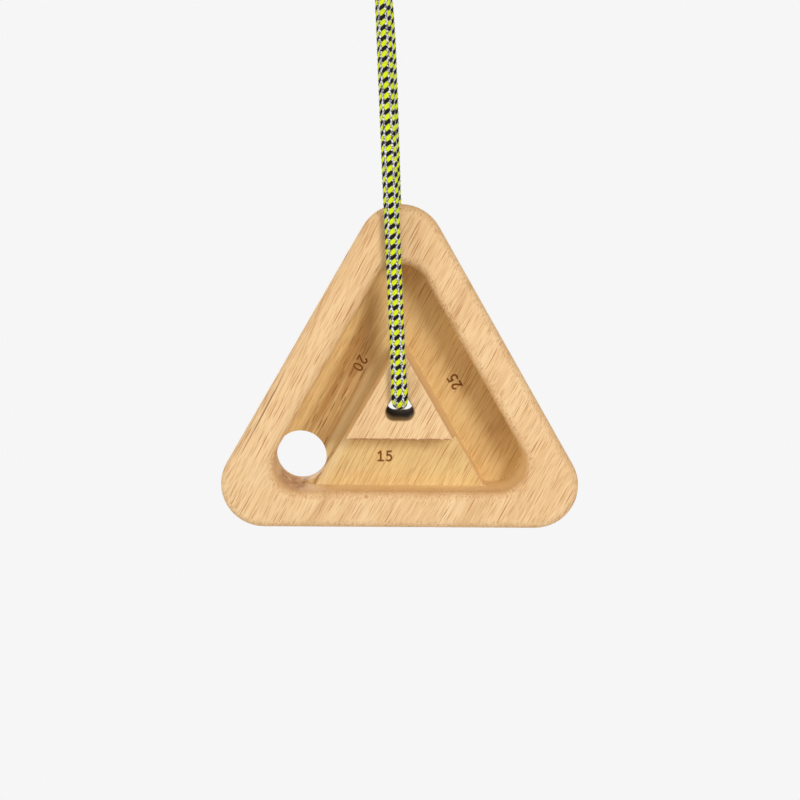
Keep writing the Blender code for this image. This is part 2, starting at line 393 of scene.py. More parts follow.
@dataclass(frozen=True)
class Figure:
    """One noise of the wood's figure, which turns its tone by the strength at most.

    The stretch counts clouds in a metre along the grain, through the board and across. The noise
    starts to show at the step's first value and shows in full at its second.
    """

    stretch: Place
    detail: float
    roughness: float
    step: Span
    strength: float

    def lay(self, bench: Bench, grain: Socket) -> tuple[Signal, Signal]:
        """Return the noise itself, and how far it turns the tone."""
        noise = bench.noise(grain, self.stretch, self.detail, self.roughness)
        return noise, bench.ramp(noise, *self.step) * self.strength


@dataclass(frozen=True)
class Dashes:
    """One scatter of vessels, which the saw has cut lengthwise as short dark dashes.

    They are scattered points in a space that is squeezed along the grain: the cells are counted in
    a metre along it, through the board and across. Each dash has a size of its own, from the least
    to the least plus the spread, in cells, and a strength of its own.
    """

    cells: Place
    least: float
    strength: float
    spread: float = 0.15
    edge: Span = (0.60, 1.0)
    faint_to_full: Span = (0.10, 0.85)

    def lay(self, bench: Bench, grain: Socket) -> Signal:
        """Return the mask of the dashes, which is the strength at most.

        Args:
            bench: the finish that is being laid out.
            grain: places on the wood's own axes.

        Returns:
            The mask.
        """
        away, tag = bench.cells(grain, self.cells)
        length, weight, _ = bench.parts(tag)
        dash = bench.fall(away / (length * self.spread + self.least), *self.edge)
        return dash * bench.ramp(weight, *self.faint_to_full) * self.strength


@dataclass(frozen=True)
class Rubberwood:
    """Sanded pale rubberwood with straight grain, dark vessels and a few brown streaks.

    The milled recess is browner than the sanded faces round it, by a painted shade, and a brown streak
    of heartwood runs through it. Painted light pales a band of its left floor beside the middle block,
    and painted shade darkens the cord hole's wall. Places along and across the grain are measured on the
    wood's own turned axes. Two values of a step are where a mask starts to change and where the change
    is done.
    """

    sizes: BoardSizes = BoardSizes()
    grain_turn: float = math.radians(62.0)
    pale: Colour = screen_colour(248, 213, 163)
    ripe: Colour = screen_colour(232, 189, 135)
    brown: Colour = screen_colour(196, 143, 88)
    band: Figure = Figure((5.0, 60.0, 85.0), 2.0, 0.5, (0.30, 0.72), 0.40)
    streak: Figure = Figure((22.0, 330.0, 480.0), 3.0, 0.6, (0.35, 0.75), 0.40)
    fibre: Figure = Figure((130.0, 2100.0, 2700.0), 2.0, 0.6, (0.38, 0.72), 0.68)
    flame: Figure = Figure((9.0, 90.0, 150.0), 3.0, 0.55, (0.56, 0.78), 0.45)
    thread: Figure = Figure((34.0, 1400.0, 2200.0), 1.0, 0.5, (0.54, 0.74), 0.60)
    vein: Figure = Figure((14.0, 120.0, 420.0), 3.0, 0.6, (0.28, 0.58), 0.95)
    pores: tuple[Dashes, ...] = (
        Dashes((78.0, 720.0, 2400.0), 0.23, 0.78),
        Dashes((48.0, 470.0, 1950.0), 0.18, 0.92),
        Dashes((115.0, 1000.0, 3200.0), 0.28, 0.60),
    )
    cut_pores: Dashes = Dashes((96.0, 560.0, 1250.0), 0.24, 1.0)
    heartwood: Stain = Stain(screen_colour(190, 138, 84), 1.0)
    vessel: Stain = Stain(screen_colour(172, 92, 38), 1.0)
    open_vessel: Stain = Stain(screen_colour(132, 78, 20), 0.80)
    # Pale dust on the upright walls, and painted light on a band of the left floor.
    dust_and_painted_light: Stain = Stain(screen_colour(246, 219, 166), 0.55)
    split_stain: Stain = Stain(screen_colour(128, 72, 30), 0.92)
    torn_stain: Stain = Stain(screen_colour(176, 112, 70), 0.85)
    # Painted shade on the cord hole's wall: lighter from the lip, nearly black farther in.
    lip_shade: Stain = Stain(screen_colour(178, 138, 78), 0.85)
    hole_deep_shade: Stain = Stain(screen_colour(76, 52, 16), 0.93)
    end_tint: Colour = (0.80, 0.73, 0.64)
    # Painted shade of the recess, and below, how much of it is lost where the grain is end-on.
    recess_shade_tint: Colour = (0.94, 0.99, 0.83)
    end_on_step: Span = (0.35, 1.0)
    upright_step: Span = (0.15, 0.60)
    end_share: float = 0.55
    end_share_lost: float = 0.50
    recess_shade_lost: float = 0.80
    pores_lost_milled: float = 0.25
    pores_lost_end: float = 0.50
    heart_across: float = -98.85 * MM
    heart_step: Span = (4.2075 * MM, 7.65 * MM)
    heart_right_step: Span = (-9.0 * MM, 5.0 * MM)
    # The band of painted light on the left floor beside the middle block.
    painted_light_across: float = -108.2 * MM
    painted_light_step: Span = (2.2 * MM, 4.6 * MM)
    wall_left_step: Span = (-24.0 * MM, -14.0 * MM)
    hole_step: Span = (6.65 * MM, 8.4 * MM)
    lip_step: Span = (0.05 * MM, 1.1 * MM)
    hole_deep_shade_step: Span = (4.5 * MM, 16.0 * MM)
    hole_back_step: Span = (27.0 * MM, 30.0 * MM)
    recess_step: Span = (35.0 * MM, 37.5 * MM)
    recess_depth_step: Span = (0.5 * MM, 14.0 * MM)
    recess_back_step: Span = (25.5 * MM, 27.0 * MM)
    split_along: float = -236.379 * MM
    split_across: float = -76.0216 * MM
    split_step: Span = (0.078 * MM, 0.364 * MM)
    split_end_step: Span = (4.5335 * MM, 20.7246 * MM)
    split_ruffle: float = 0.25 * MM
    split_depth: float = 9.0 * MM
    torn_rise: float = -11.9225 * MM
    torn_ruffle: float = 1.1 * MM
    torn_step: Span = (0.12 * MM, 0.50 * MM)
    torn_end_step: Span = (17.85 * MM, 21.0 * MM)
    torn_break_step: Span = (0.34, 0.52)
    torn_depth: float = 1.2 * MM
    dullness: Span = (0.52, 0.22)
    fibre_relief: float = 0.30
    hollow_relief: float = 0.05
    relief: float = 0.08 * MM
    gloss: float = 0.24

    def spot(self, bench: Bench) -> Spot:
        """Return the place that the finish is worked out for.

        Args:
            bench: the finish that is being laid out.

        Returns:
            The place.
        """
        x, y, z = bench.parts(bench.coordinates("Object"))
        hole_x, hole_z = self.sizes.hole_axis
        return Spot(x, y + self.sizes.half_thickness, x - hole_x, z - hole_z)

    def grain(self, bench: Bench) -> Socket:
        """Return places on the wood's own axes: x along the grain, y through the board, z across."""
        inputs = {"Vector": bench.coordinates("Object"), "Rotation": (0.0, self.grain_turn, 0.0)}
        return bench.node("ShaderNodeMapping", inputs).outputs["Vector"]

    def milled(self, bench: Bench, spot: Spot) -> Signal:
        """Return the mask of the recess: 1 on its walls and floors, 0 on the faces and the outside.

        A place is in the recess where its largest distance from the hole's axis, square to any of
        the three sides, is less than the recess's reach, and its depth is between the two faces.

        Args:
            bench: the finish that is being laid out.
            spot: the place.

        Returns:
            The mask.
        """
        slant = abs(spot.side) * (ROOT_3 / 2.0) + spot.rise * 0.5
        inside = bench.fall(bench.most(slant, 0.0 - spot.rise), *self.recess_step)
        deep = bench.ramp(spot.inset, *self.recess_depth_step)
        return inside * deep * bench.fall(spot.inset, *self.recess_back_step)

    def split(self, bench: Bench, spot: Spot, grain: Socket) -> Signal:
        """Return the mask of the dark split in the left rim, a thin line that fades at its ends.

        The line runs along the grain, and a little noise ruffles it.

        Args:
            bench: the finish that is being laid out.
            spot: the place.
            grain: the same place on the wood's own axes.

        Returns:
            The mask, 1 in the split.
        """
        along, _, across = bench.parts(grain)
        ruffle = (bench.noise(grain, (220.0, 0.0, 0.0), 2.0) - 0.5) * self.split_ruffle
        thin = bench.fall(abs(across + ruffle - self.split_across), *self.split_step)
        inside = bench.fall(abs(along - self.split_along), *self.split_end_step)
        return thin * inside * bench.below(spot.inset, self.split_depth)

    def hole_wall_shade(self, bench: Bench, spot: Spot) -> tuple[Signal, Signal]:
        """Lay out the masks of the painted shade on the cord hole's wall.

        Args:
            bench: the finish that is being laid out.
            spot: the place.

        Returns:
            The wall from its front lip, which takes a lighter painted shade, and its darker painted shade, which starts
            farther in.
        """
        near = bench.fall(bench.distance(spot.side, spot.rise), *self.hole_step)
        wall = near * bench.fall(spot.inset, *self.hole_back_step)
        return wall * bench.ramp(spot.inset, *self.lip_step), wall * bench.ramp(spot.inset, *self.hole_deep_shade_step)

    def torn_edge(self, bench: Bench, spot: Spot) -> Signal:
        """Return the mask of the torn fibres along the lower edge of the middle block's front.

        It is a thin line, and one noise along the edge both ruffles it and breaks it up.

        Args:
            bench: the finish that is being laid out.
            spot: the place.

        Returns:
            The mask, 1 where the fibres are torn.
        """
        wave = bench.noise(bench.coordinates("Object"), (420.0, 0.0, 0.0), 3.0, 0.6)
        edge = (wave - 0.5) * self.torn_ruffle + self.torn_rise
        line = bench.fall(abs(spot.rise - edge), *self.torn_step)
        short = bench.fall(abs(spot.side), *self.torn_end_step)
        front = bench.below(spot.inset, self.torn_depth)
        return line * short * front * bench.ramp(wave, *self.torn_break_step)

    def material(self) -> bpy.types.Material:
        """Lay out the wood.

        Tone is the pale colour turned riper by broad bands, by streaks a millimetre or two wide and
        by fibres, with brown flames and threads on it. Three scatters of vessels lie on it, from
        coarse and sparse to fine and dense, and the brown streak has one of its own, which the mill
        has cut open. Where the surface cuts the grain end-on, the wood is darker, but for the mill's
        own walls, which carry pale dust. The recess is darkened by a painted shade, a band of its left
        floor beside the middle block is paled by painted light, and the cord hole's wall takes a
        painted shade that darkens inward.

        Returns:
            The material.
        """
        bench = Bench(bpy.data.materials.new("rubberwood_sanded"))
        grain, spot = self.grain(bench), self.spot(bench)
        across = bench.parts(grain)[2]
        milled = self.milled(bench, spot)
        lean_x, lean_y, lean_z = bench.parts(bench.coordinates("Normal"))
        lean = lean_x * math.cos(self.grain_turn) + lean_z * math.sin(self.grain_turn)
        end_on = bench.ramp(abs(lean), *self.end_on_step)
        upright = bench.fall(abs(lean_y), *self.upright_step)

        fibre, fibre_tone = self.fibre.lay(bench, grain)
        tone = self.band.lay(bench, grain)[1] + (self.streak.lay(bench, grain)[1] + fibre_tone)
        colour = bench.blend(tone, self.pale, self.ripe)
        for figure in (self.flame, self.thread):
            colour = bench.blend(figure.lay(bench, grain)[1], colour, self.brown)

        left = bench.fall(spot.x, *self.heart_right_step)
        core = bench.fall(abs(across - self.heart_across), *self.heart_step) * left * milled
        colour = self.heartwood.over(bench, core * self.vein.lay(bench, grain)[1], colour)
        vessel = bench.most(*(pores.lay(bench, grain) for pores in self.pores))
        kept = 1.0 - (milled * self.pores_lost_milled + end_on * self.pores_lost_end)
        colour = self.vessel.over(bench, vessel * kept, colour)
        colour = self.open_vessel.over(bench, core * self.cut_pores.lay(bench, grain), colour)

        # Painted shade: the recess is darkened and turned olive, less where the grain is end-on.
        colour = bench.darken(milled * (1.0 - end_on * self.recess_shade_lost), colour, self.recess_shade_tint)
        colour = bench.darken(end_on * (self.end_share - milled * self.end_share_lost), colour, self.end_tint)
        # Painted light: a pale band on the left floor beside the middle block lightens the block's cast shadow; the
        # upright walls take pale dust.
        painted_light_band = bench.fall(abs(across - self.painted_light_across), *self.painted_light_step) * left
        wall = upright * bench.ramp(spot.x, *self.wall_left_step)
        colour = self.dust_and_painted_light.over(bench, bench.most(wall, painted_light_band) * milled, colour)

        split = self.split(bench, spot, grain)
        colour = self.split_stain.over(bench, split, colour)
        colour = self.torn_stain.over(bench, self.torn_edge(bench, spot), colour)
        # Painted shade in the cord hole: olive-brown from the lip in, nearly black farther in, where it is also fully
        # rough.
        lip, hole_shade_mask = self.hole_wall_shade(bench, spot)
        colour = self.lip_shade.over(bench, lip, colour)
        colour = self.hole_deep_shade.over(bench, hole_shade_mask, colour)

        least, more = self.dullness
        rough = bench.between(hole_shade_mask, fibre * more + least, 1.0)
        relief = fibre * self.fibre_relief - bench.most(vessel, split) * self.hollow_relief
        return bench.finish(colour, rough, relief, self.relief, self.gloss)


@dataclass(frozen=True)
class Scorch:
    """Wood that a laser has burnt: brown at the rim of a stroke and nearly black in its groove."""

    name: str
    light: Colour
    dark: Colour
    mottle: Place = (2600.0, 2600.0, 2600.0)
    mottle_step: Span = (0.32, 0.70)
    dullness: float = 0.85
    relief: float = 0.05 * MM
    gloss: float = 0.25

    def material(self) -> bpy.types.Material:
        """Lay out the burnt wood, mottled by a fine noise.

        Returns:
            The material.
        """
        bench = Bench(bpy.data.materials.new(self.name))
        mottle = bench.noise(bench.coordinates("Object"), self.mottle, 3.0, 0.6)
        colour = bench.blend(bench.ramp(mottle, *self.mottle_step), self.dark, self.light)
        return bench.finish(colour, self.dullness, mottle, self.relief, self.gloss)


@dataclass(frozen=True)
class Crossing:
    """Which yarn is on top at a place of the sheath, and where on it the place is.

    first is 1 where it is a yarn of the first way, across the place across the yarn from -0.5 to
    0.5, travel the place along its float from 0 to 2, and one and other the numbers of the yarns
    of the two ways that cross there.
    """

    first: Array | Signal
    across: Array | Signal
    travel: Array | Signal
    one: Array | Signal
    other: Array | Signal


@dataclass(frozen=True)
class Plait:
    """How the sheath's yarns cross: the same rule shapes its relief and colours its yarns.

    Yarns run both ways round the cord, so many each way, and rise by the lead in a full turn. Each
    runs over two yarns of the other way and then under two. On the unrolled sheath, u is the place
    round the cord and v the place along it, both in yarn spacings. Yarn a of the first way lies
    where u - v is near the whole number a, and yarn b of the other way where u + v is near b. The
    first way is on top where the rest of (a + b) / 4 is 0 or 1, so that its floats stand in
    columns. Three things bend this grid: a float lies flatter than its yarn's whole turn, for which
    v gains a zigzag of u, every second yarn of the first way is fuller than its neighbours, and
    the first way's floats are longer than two spacings at both ends, over the other way's.
    """

    yarns: int = 12
    lead: float = 22.9 * MM
    flatter: float = 0.44
    fuller: float = 0.05
    longer: float = 0.30
    crown_fall: float = 3.6
    crown_low: float = 0.4

    def along(self, travel: Array) -> Array:
        """Turn distance along the cord into yarn spacings."""
        return travel * self.yarns / self.lead

    def crossing(self, u: Array | Signal, v: Array | Signal, maths: type[OnArrays] | Bench) -> Crossing:
        """Work out which yarn is on top.

        Args:
            u: place round the cord, in yarn spacings.
            v: place along the cord, in yarn spacings.
            maths: where the rule is worked out, on arrays or on a bench's nodes.

        Returns:
            The yarn on top and the place on it.
        """
        bent = v + (0.5 - abs((u + 0.25) % 2.0 - 1.0)) * self.flatter
        one, other = u - bent, u + bent
        one = one - maths.sine(one * math.pi) * self.fuller
        a, b = maths.nearest(one), maths.nearest(other)
        lane = (other + a + (0.5 + self.longer)) % 4.0
        first = maths.below(lane, 2.0 + 2.0 * self.longer)
        across = maths.between(first, other - b, one - a)
        beneath = one - a + 0.5 + (a + b) % 2.0
        return Crossing(first, across, maths.between(first, beneath, lane / (1.0 + self.longer)), a, b)

    def crown(self, u: Array, v: Array) -> Array:
        """Work out how high the top yarn stands, from 0 in the gaps to 1 in the middle of a float.

        A yarn is round across, sqrt(1 - 3.6 c ** 2) with c from -0.5 to 0.5, and over a float of
        length 2 it climbs and dives as 0.4 + 0.6 sin(pi t / 2).

        Args:
            u: place round the cord, in yarn spacings.
            v: place along the cord, in yarn spacings.

        Returns:
            The height at each place.
        """
        top = self.crossing(u, v, OnArrays)
        round_over = np.sqrt(np.clip(1.0 - self.crown_fall * top.across**2, 0.0, 1.0))
        return round_over * (self.crown_low + (1.0 - self.crown_low) * np.sin(math.pi * top.travel / 2.0))


@dataclass(frozen=True)
class BraidedSheath:
    """The cord's sheath: black and neon yellow yarns one way, heathered silver ones the other.

    Each yarn has two shades, and fine filaments or flecks step from one to the other.
    """

    plait: Plait
    neon: Colour = screen_colour(233, 244, 32)
    neon_deep: Colour = screen_colour(196, 218, 12)
    neon_step: Span = (0.30, 0.60)
    black: Colour = screen_colour(5, 4, 6)
    black_worn: Colour = screen_colour(20, 17, 20)
    black_step: Span = (0.50, 0.75)
    silver: Colour = screen_colour(242, 238, 242)
    silver_dark: Colour = screen_colour(98, 92, 100)
    silver_step: Span = (0.43, 0.54)
    melted: Colour = screen_colour(38, 36, 30)
    # Painted shade in the gaps between yarns, and how strong it is on each way.
    gap_shade_tint: Colour = (0.10, 0.10, 0.12)
    gap_shade_share: Span = (0.85, 0.40)
    rim_step: Span = (0.78, 1.0)
    dive_step: Span = (0.60, 1.0)
    yarn_stretch: Place = (9.0, 0.9, 7.3)
    fleck_stretch: Place = (0.22, 1.9, 1.0)
    filaments: float = 7.0
    filament_relief: float = 0.6
    ripple_relief: float = 0.25
    dullness: Span = (0.66, 0.32)
    relief: float = 0.05 * MM
    gloss: float = 0.18

    def material(self) -> bpy.types.Material:
        """Lay out the sheath by the rule in Plait, read from the piece's own plait attribute.

        The attribute holds u, v and how far the place is melted. The noises are read across a yarn,
        along it and by its number, and a painted shade darkens the gaps at a yarn's rims and ends.

        Returns:
            The material.
        """
        bench = Bench(bpy.data.materials.new("cord_braid"))
        read = bench.node("ShaderNodeAttribute", {}, attribute_name="plait")
        u, v, melt = bench.parts(read.outputs["Vector"])
        top = self.plait.crossing(u, v, bench)
        across_scale, travel_scale, number_scale = self.yarn_stretch
        number = bench.between(top.first, top.other, top.one) * number_scale
        where = bench.vector(top.across * across_scale, top.travel * travel_scale, number)
        filament = bench.noise(where, (1.0, 1.0, 1.0), 2.0, 0.6)
        fleck = bench.noise(where, self.fleck_stretch, 1.0)
        bright = bench.blend(bench.ramp(filament, *self.neon_step), self.neon_deep, self.neon)
        dark = bench.blend(bench.ramp(filament, *self.black_step), self.black, self.black_worn)
        grey = bench.blend(bench.ramp(fleck, *self.silver_step), self.silver_dark, self.silver)
        colour = bench.blend(top.first, grey, bench.blend(top.one % 2.0, bright, dark))

        # Painted shade: the gaps at a yarn's rims, and where it dives under, are darkened.
        rim = bench.ramp(abs(top.across) * 2.0, *self.rim_step)
        dive = bench.ramp(1.0 - bench.sine(top.travel * (math.pi / 2.0)), *self.dive_step)
        depth = bench.between(top.first, *self.gap_shade_share)
        colour = bench.darken(bench.most(rim, dive) * depth, colour, self.gap_shade_tint)
        colour = bench.blend(melt, colour, self.melted)

        ripple = bench.sine(top.across * (FULL_TURN * self.filaments))
        height = (ripple * self.ripple_relief + filament * self.filament_relief) * (1.0 - melt)
        return bench.finish(colour, bench.between(melt, *self.dullness), height, self.relief, self.gloss)


def smooth_step(value: Array, low: float, high: float) -> Array:
    """Climb from 0 at low to 1 at high as 3 t ** 2 - 2 t ** 3, where t is the even climb."""
    even = np.clip((value - low) / (high - low), 0.0, 1.0)
    return even**2 * (3.0 - 2.0 * even)


def smooth_curve(route: Array, spacing: float) -> Array:
    """Run a smooth curve through points.

    Each stretch is the cubic 2s3 - 3s2 + 1, s3 - 2s2 + s, 3s2 - 2s3, s3 - s2 of its two ends and
    slopes. The slope at a point is that of the stretches beside it, and the nearer counts for more.

    Args:
        route: points, one in a row.
        spacing: about how far apart the curve's points are.

    Returns:
        The curve's points, with the route's own among them.
    """
    nodes = np.asarray(route, float)
    spans = np.linalg.norm(np.diff(nodes, axis=0), axis=1)[:, None]
    grades = np.diff(nodes, axis=0) / spans
    inner = (grades[:-1] * spans[1:] + grades[1:] * spans[:-1]) / (spans[:-1] + spans[1:])
    slopes = np.vstack([grades[:1], inner, grades[-1:]])
    stretches = [nodes[:1]]
    for index, span in enumerate(spans[:, 0]):
        steps = max(1, round(span / spacing))
        s = (np.arange(1, steps + 1) / steps)[:, None]
        stretches.append(
            nodes[index] * (2.0 * s**3 - 3.0 * s**2 + 1.0)
            + slopes[index] * span * (s**3 - 2.0 * s**2 + s)
            + nodes[index + 1] * (3.0 * s**2 - 2.0 * s**3)
            + slopes[index + 1] * span * (s**3 - s**2)
        )
    return np.vstack(stretches)


def distance_along(line: Array) -> Array:
    """Return how far along a line each of its points is."""
    steps = np.linalg.norm(np.diff(line, axis=0), axis=1)
    return np.concatenate([[0.0], np.cumsum(steps)])


def even_line(line: Array, spacing: float) -> Array:
    """Place points evenly along a line.

    Args:
        line: points, one in a row.
        spacing: about how far apart the new points are.

    Returns:
        The new points, with the line's two ends among them.
    """
    travel = distance_along(line)
    wanted = np.linspace(0.0, travel[-1], max(2, round(travel[-1] / spacing) + 1))
    return np.column_stack([np.interp(wanted, travel, line[:, axis]) for axis in range(3)])


def eased_line(line: Array, reach: int) -> Array:
    """Ease the kinks out of an evenly spaced line with a bell-shaped mean, and keep its two ends.

    Args:
        line: points, one in a row.
        reach: how many points on each side the mean takes in.

    Returns:
        The eased points.
    """
    bell = np.exp(-0.5 * (np.arange(-reach, reach + 1) / (reach / 2.5)) ** 2)
    bell /= bell.sum()
    lead_in = 2.0 * line[0] - line[reach:0:-1]
    lead_out = 2.0 * line[-1] - line[-2 : -reach - 2 : -1]
    padded = np.vstack([lead_in, line, lead_out])
    return np.column_stack([np.convolve(padded[:, axis], bell, "valid") for axis in range(3)])


def unit(vectors: Array) -> Array:
    """Scale each row to length 1."""
    return vectors / np.linalg.norm(vectors, axis=-1, keepdims=True)


def untwisted_frames(line: Array) -> tuple[Array, Array, Array]:
    """Carry a cross-section along a line without twisting it.

    At each point any side axis square to the line is taken first. The slip between that axis and
    the one before it, turned the least way round the bend, is summed up and taken back out.

    Args:
        line: points, one in a row.

    Returns:
        The line's direction and two axes square to it, at each point.
    """
    ahead = unit(np.gradient(line, axis=0))
    axis = np.eye(3)[np.argmin(np.abs(ahead), axis=1)]
    side = unit(axis - np.sum(axis * ahead, axis=1, keepdims=True) * ahead)
    over = np.cross(ahead, side)
    before, after = ahead[:-1], ahead[1:]
    hinge = np.cross(before, after)
    bend = np.sum(before * after, axis=1, keepdims=True)
    turned = side[:-1] * bend + np.cross(hinge, side[:-1])
    turned += hinge * np.sum(hinge * side[:-1], axis=1, keepdims=True) / (1.0 + bend)
    slip = np.arctan2(np.sum(turned * over[1:], axis=1), np.sum(turned * side[1:], axis=1))
    total = np.concatenate([[0.0], np.cumsum(slip)])[:, None]
    first = np.cos(total) * side + np.sin(total) * over
    return ahead, first, np.cross(ahead, first)


def stand(name: str, data: bpy.types.ID) -> bpy.types.Object:
    """Make an object of a mesh, a lamp or a camera, and put it in the scene.

    Args:
        name: the object's name.
        data: the mesh, lamp or camera.

    Returns:
        The object, which sits at the origin.
    """
    obj = bpy.data.objects.new(name, data)
    bpy.context.scene.collection.objects.link(obj)
    return obj


def ring_quads(count: int, around: int) -> Array:
    """Return the faces between rings of points, where each ring follows the one before it.

    Args:
        count: how many rings there are.
        around: how many points a ring has.

    Returns:
        The numbers of each face's four points.
    """
    grid = np.arange(count * around).reshape(count, around)
    low, high = grid[:-1], grid[1:]
    return np.stack([low, np.roll(low, -1, axis=1), np.roll(high, -1, axis=1), high], axis=-1).reshape(-1, 4)


def skin(name: str, rings: Array) -> bpy.types.Object:
    """Make a closed mesh object from rings of points, with a lid on the first and the last ring.

    Args:
        name: the object's name.
        rings: points as rings, then places round a ring, then x, y and z.

    Returns:
        The object, which sits at the origin.
    """
    count, around = rings.shape[:2]
    lids = [list(range(around))[::-1], list(range((count - 1) * around, count * around))]
    mesh = bpy.data.meshes.new(name)
    mesh.from_pydata(rings.reshape(-1, 3).tolist(), [], ring_quads(count, around).tolist() + lids)
    mesh.update()
    return stand(name, mesh)


def read_all(rows: bpy.types.bpy_prop_collection, name: str, width: int = 1, kind: type = float) -> Array:
    """Read one property of all of a mesh's vertices, edges, corners or faces.

    Args:
        rows: the vertices, edges, corners or faces.
        name: the property.
        width: how many numbers it has.
        kind: float or int.

    Returns:
        The numbers, one row each where the width is more than 1.
    """
    values = np.empty(len(rows) * width, kind)
    rows.foreach_get(name, values)
    return values.reshape(-1, width) if width > 1 else values


@dataclass(frozen=True)
class Stretch:
    """A stretch of the cord, with one row for each of its centres.

    line holds the centres and travel how far along the whole cord they are. ahead, first and over
    are the cord's direction and two axes square to it. rows is the travel that the plait's rows
    follow, and twist the angle that its columns turn by. press is the axis along which the section
    is pressed wider, as long as the press is hard.
    """

    line: Array
    travel: Array
    ahead: Array
    first: Array
    over: Array
    rows: Array
    twist: Array
    press: Array

    def part(self, start: int, stop: int) -> "Stretch":
        """Return the part from one centre to another, with both."""
        return Stretch(*(getattr(self, row.name)[start : stop + 1] for row in fields(self)))


@dataclass(frozen=True)
class BraidedTube:
    """A round cord whose surface carries the yarns of its sheath."""

    plait: Plait
    radius: float = 3.06 * MM
    wider: float = 0.13
    flatter: float = 0.06
    relief: float = 0.34 * MM
    around: int = 72
    spacing: float = 0.28 * MM
    tip_length: float = 1.4 * MM
    tip_rings: int = 8
    tip_open: float = 0.3
    melt_reach: float = 2.6 * MM
    melt_start: float = 1.4
    melt_levels: float = 0.8
    melt_height: float = 0.35
    melt_swell: float = 0.1 * MM

    def melt(self, travel: Array, tips: tuple[Tip, Tip]) -> Array:
        """Work out how far each place of a stretch is melted: wholly at a tip, less further on.

        Args:
            travel: how far along the cord each place is.
            tips: how the stretch starts and ends.

        Returns:
            The melt, from 0 to 1.
        """
        melt = np.zeros(len(travel))
        for tip, reach in zip(tips, (travel - travel[0], travel[-1] - travel)):
            if tip is Tip.MELTED:
                melt = np.maximum(melt, np.clip(self.melt_start - reach / self.melt_reach, 0.0, 1.0))
        return melt

    def domed(self, stretch: Stretch, tips: tuple[Tip, Tip]) -> tuple[Array, Array, Array]:
        """Close melted tips with a dome.

        Its reach rises as the sine of a quarter turn, and its radius falls as the cosine.

        Args:
            stretch: the stretch.
            tips: how it starts and ends.

        Returns:
            The centres with those of the domes, each one's share of the radius, and the row of the
            stretch that each goes by.
        """
        count = len(stretch.line)
        turn = np.arange(1, self.tip_rings + 1) / (self.tip_rings + self.tip_open) * math.pi / 2.0
        reach = self.tip_length * np.sin(turn)[:, None]
        centre, fit, pick = [stretch.line], [np.ones(count)], [np.arange(count)]
        if tips[0] is Tip.MELTED:
            centre.insert(0, (stretch.line[0] - stretch.ahead[0] * reach)[::-1])
            fit.insert(0, np.cos(turn[::-1]))
            pick.insert(0, np.zeros(self.tip_rings, int))
        if tips[1] is Tip.MELTED:
            centre.append(stretch.line[-1] + stretch.ahead[-1] * reach)
            fit.append(np.cos(turn))
            pick.append(np.full(self.tip_rings, count - 1))
        return np.vstack(centre), np.concatenate(fit), np.concatenate(pick)

    def piece(self, name: str, stretch: Stretch, start_turn: float, tips: tuple[Tip, Tip]) -> bpy.types.Object:
        """Carry the yarned cross-section along one stretch of the cord.

        A point is the centre plus r (cos w first + sin w over), where w runs round the cord and the
        radius r is the plain one less the relief where no yarn stands. Where the cord is pressed, r
        grows with the square of the point's share along the pressed axis and shrinks with the rest.

        Args:
            name: the piece's name.
            stretch: the stretch, evenly spaced.
            start_turn: the angle, from the first axis, that faces a whole yarn.
            tips: how the stretch starts and ends.

        Returns:
            The piece, with its plait attribute.
        """
        angle = np.linspace(0.0, FULL_TURN, self.around + 1)
        u = (angle - start_turn - stretch.twist[:, None]) * self.plait.yarns / FULL_TURN
        v = np.broadcast_to(self.plait.along(stretch.rows)[:, None], u.shape)
        melt = self.melt(stretch.travel, tips)
        soft = melt[:, None]
        height = self.plait.crown(u, v) * (1.0 - self.melt_levels * soft) + self.melt_height * soft
        thick = self.radius - self.relief * (1.0 - height) + self.melt_swell * soft
        centre, fit, pick = self.domed(stretch, tips)
        turn = angle[:-1][None, :, None]
        outward = np.cos(turn) * stretch.first[pick][:, None] + np.sin(turn) * stretch.over[pick][:, None]
        press = stretch.press[pick]
        hard = np.linalg.norm(press, axis=1)[:, None]
        share = np.einsum("nak,nk->na", outward, press) ** 2 / np.maximum(hard, NEARLY_NONE)
        swell = 1.0 + self.wider * share - self.flatter * (hard - share)
        r = (thick[pick] * fit[:, None])[:, :-1, None] * swell[:, :, None]
        obj = skin(name, centre[:, None] + r * outward)
        self.mark(obj.data, u[pick], v[pick], melt[pick])
        return obj

    def mark(self, mesh: bpy.types.Mesh, u: Array, v: Array, melt: Array) -> None:
        """Store u, v and melt at each face corner, so that the pattern has no seam.

        Args:
            mesh: the tube's mesh, whose two lids come after its quads.
            u: place round the cord on rings by places, the first place given again at the end.
            v: place along the cord, likewise.
            melt: how far each ring is melted.
        """
        value = np.stack([u, v, np.broadcast_to(melt[:, None], u.shape)], axis=-1)
        corners = np.stack([value[:-1, :-1], value[:-1, 1:], value[1:, 1:], value[1:, :-1]], axis=2)
        lids = np.concatenate([value[0, :-1][::-1], value[-1, :-1]])
        values = np.concatenate([corners.reshape(-1, 3), lids]).astype(np.float32)
        mesh.attributes.new("plait", "FLOAT_VECTOR", "CORNER").data.foreach_set("vector", values.ravel())
        mesh.polygons.foreach_set("use_smooth", np.ones(len(mesh.polygons), bool))


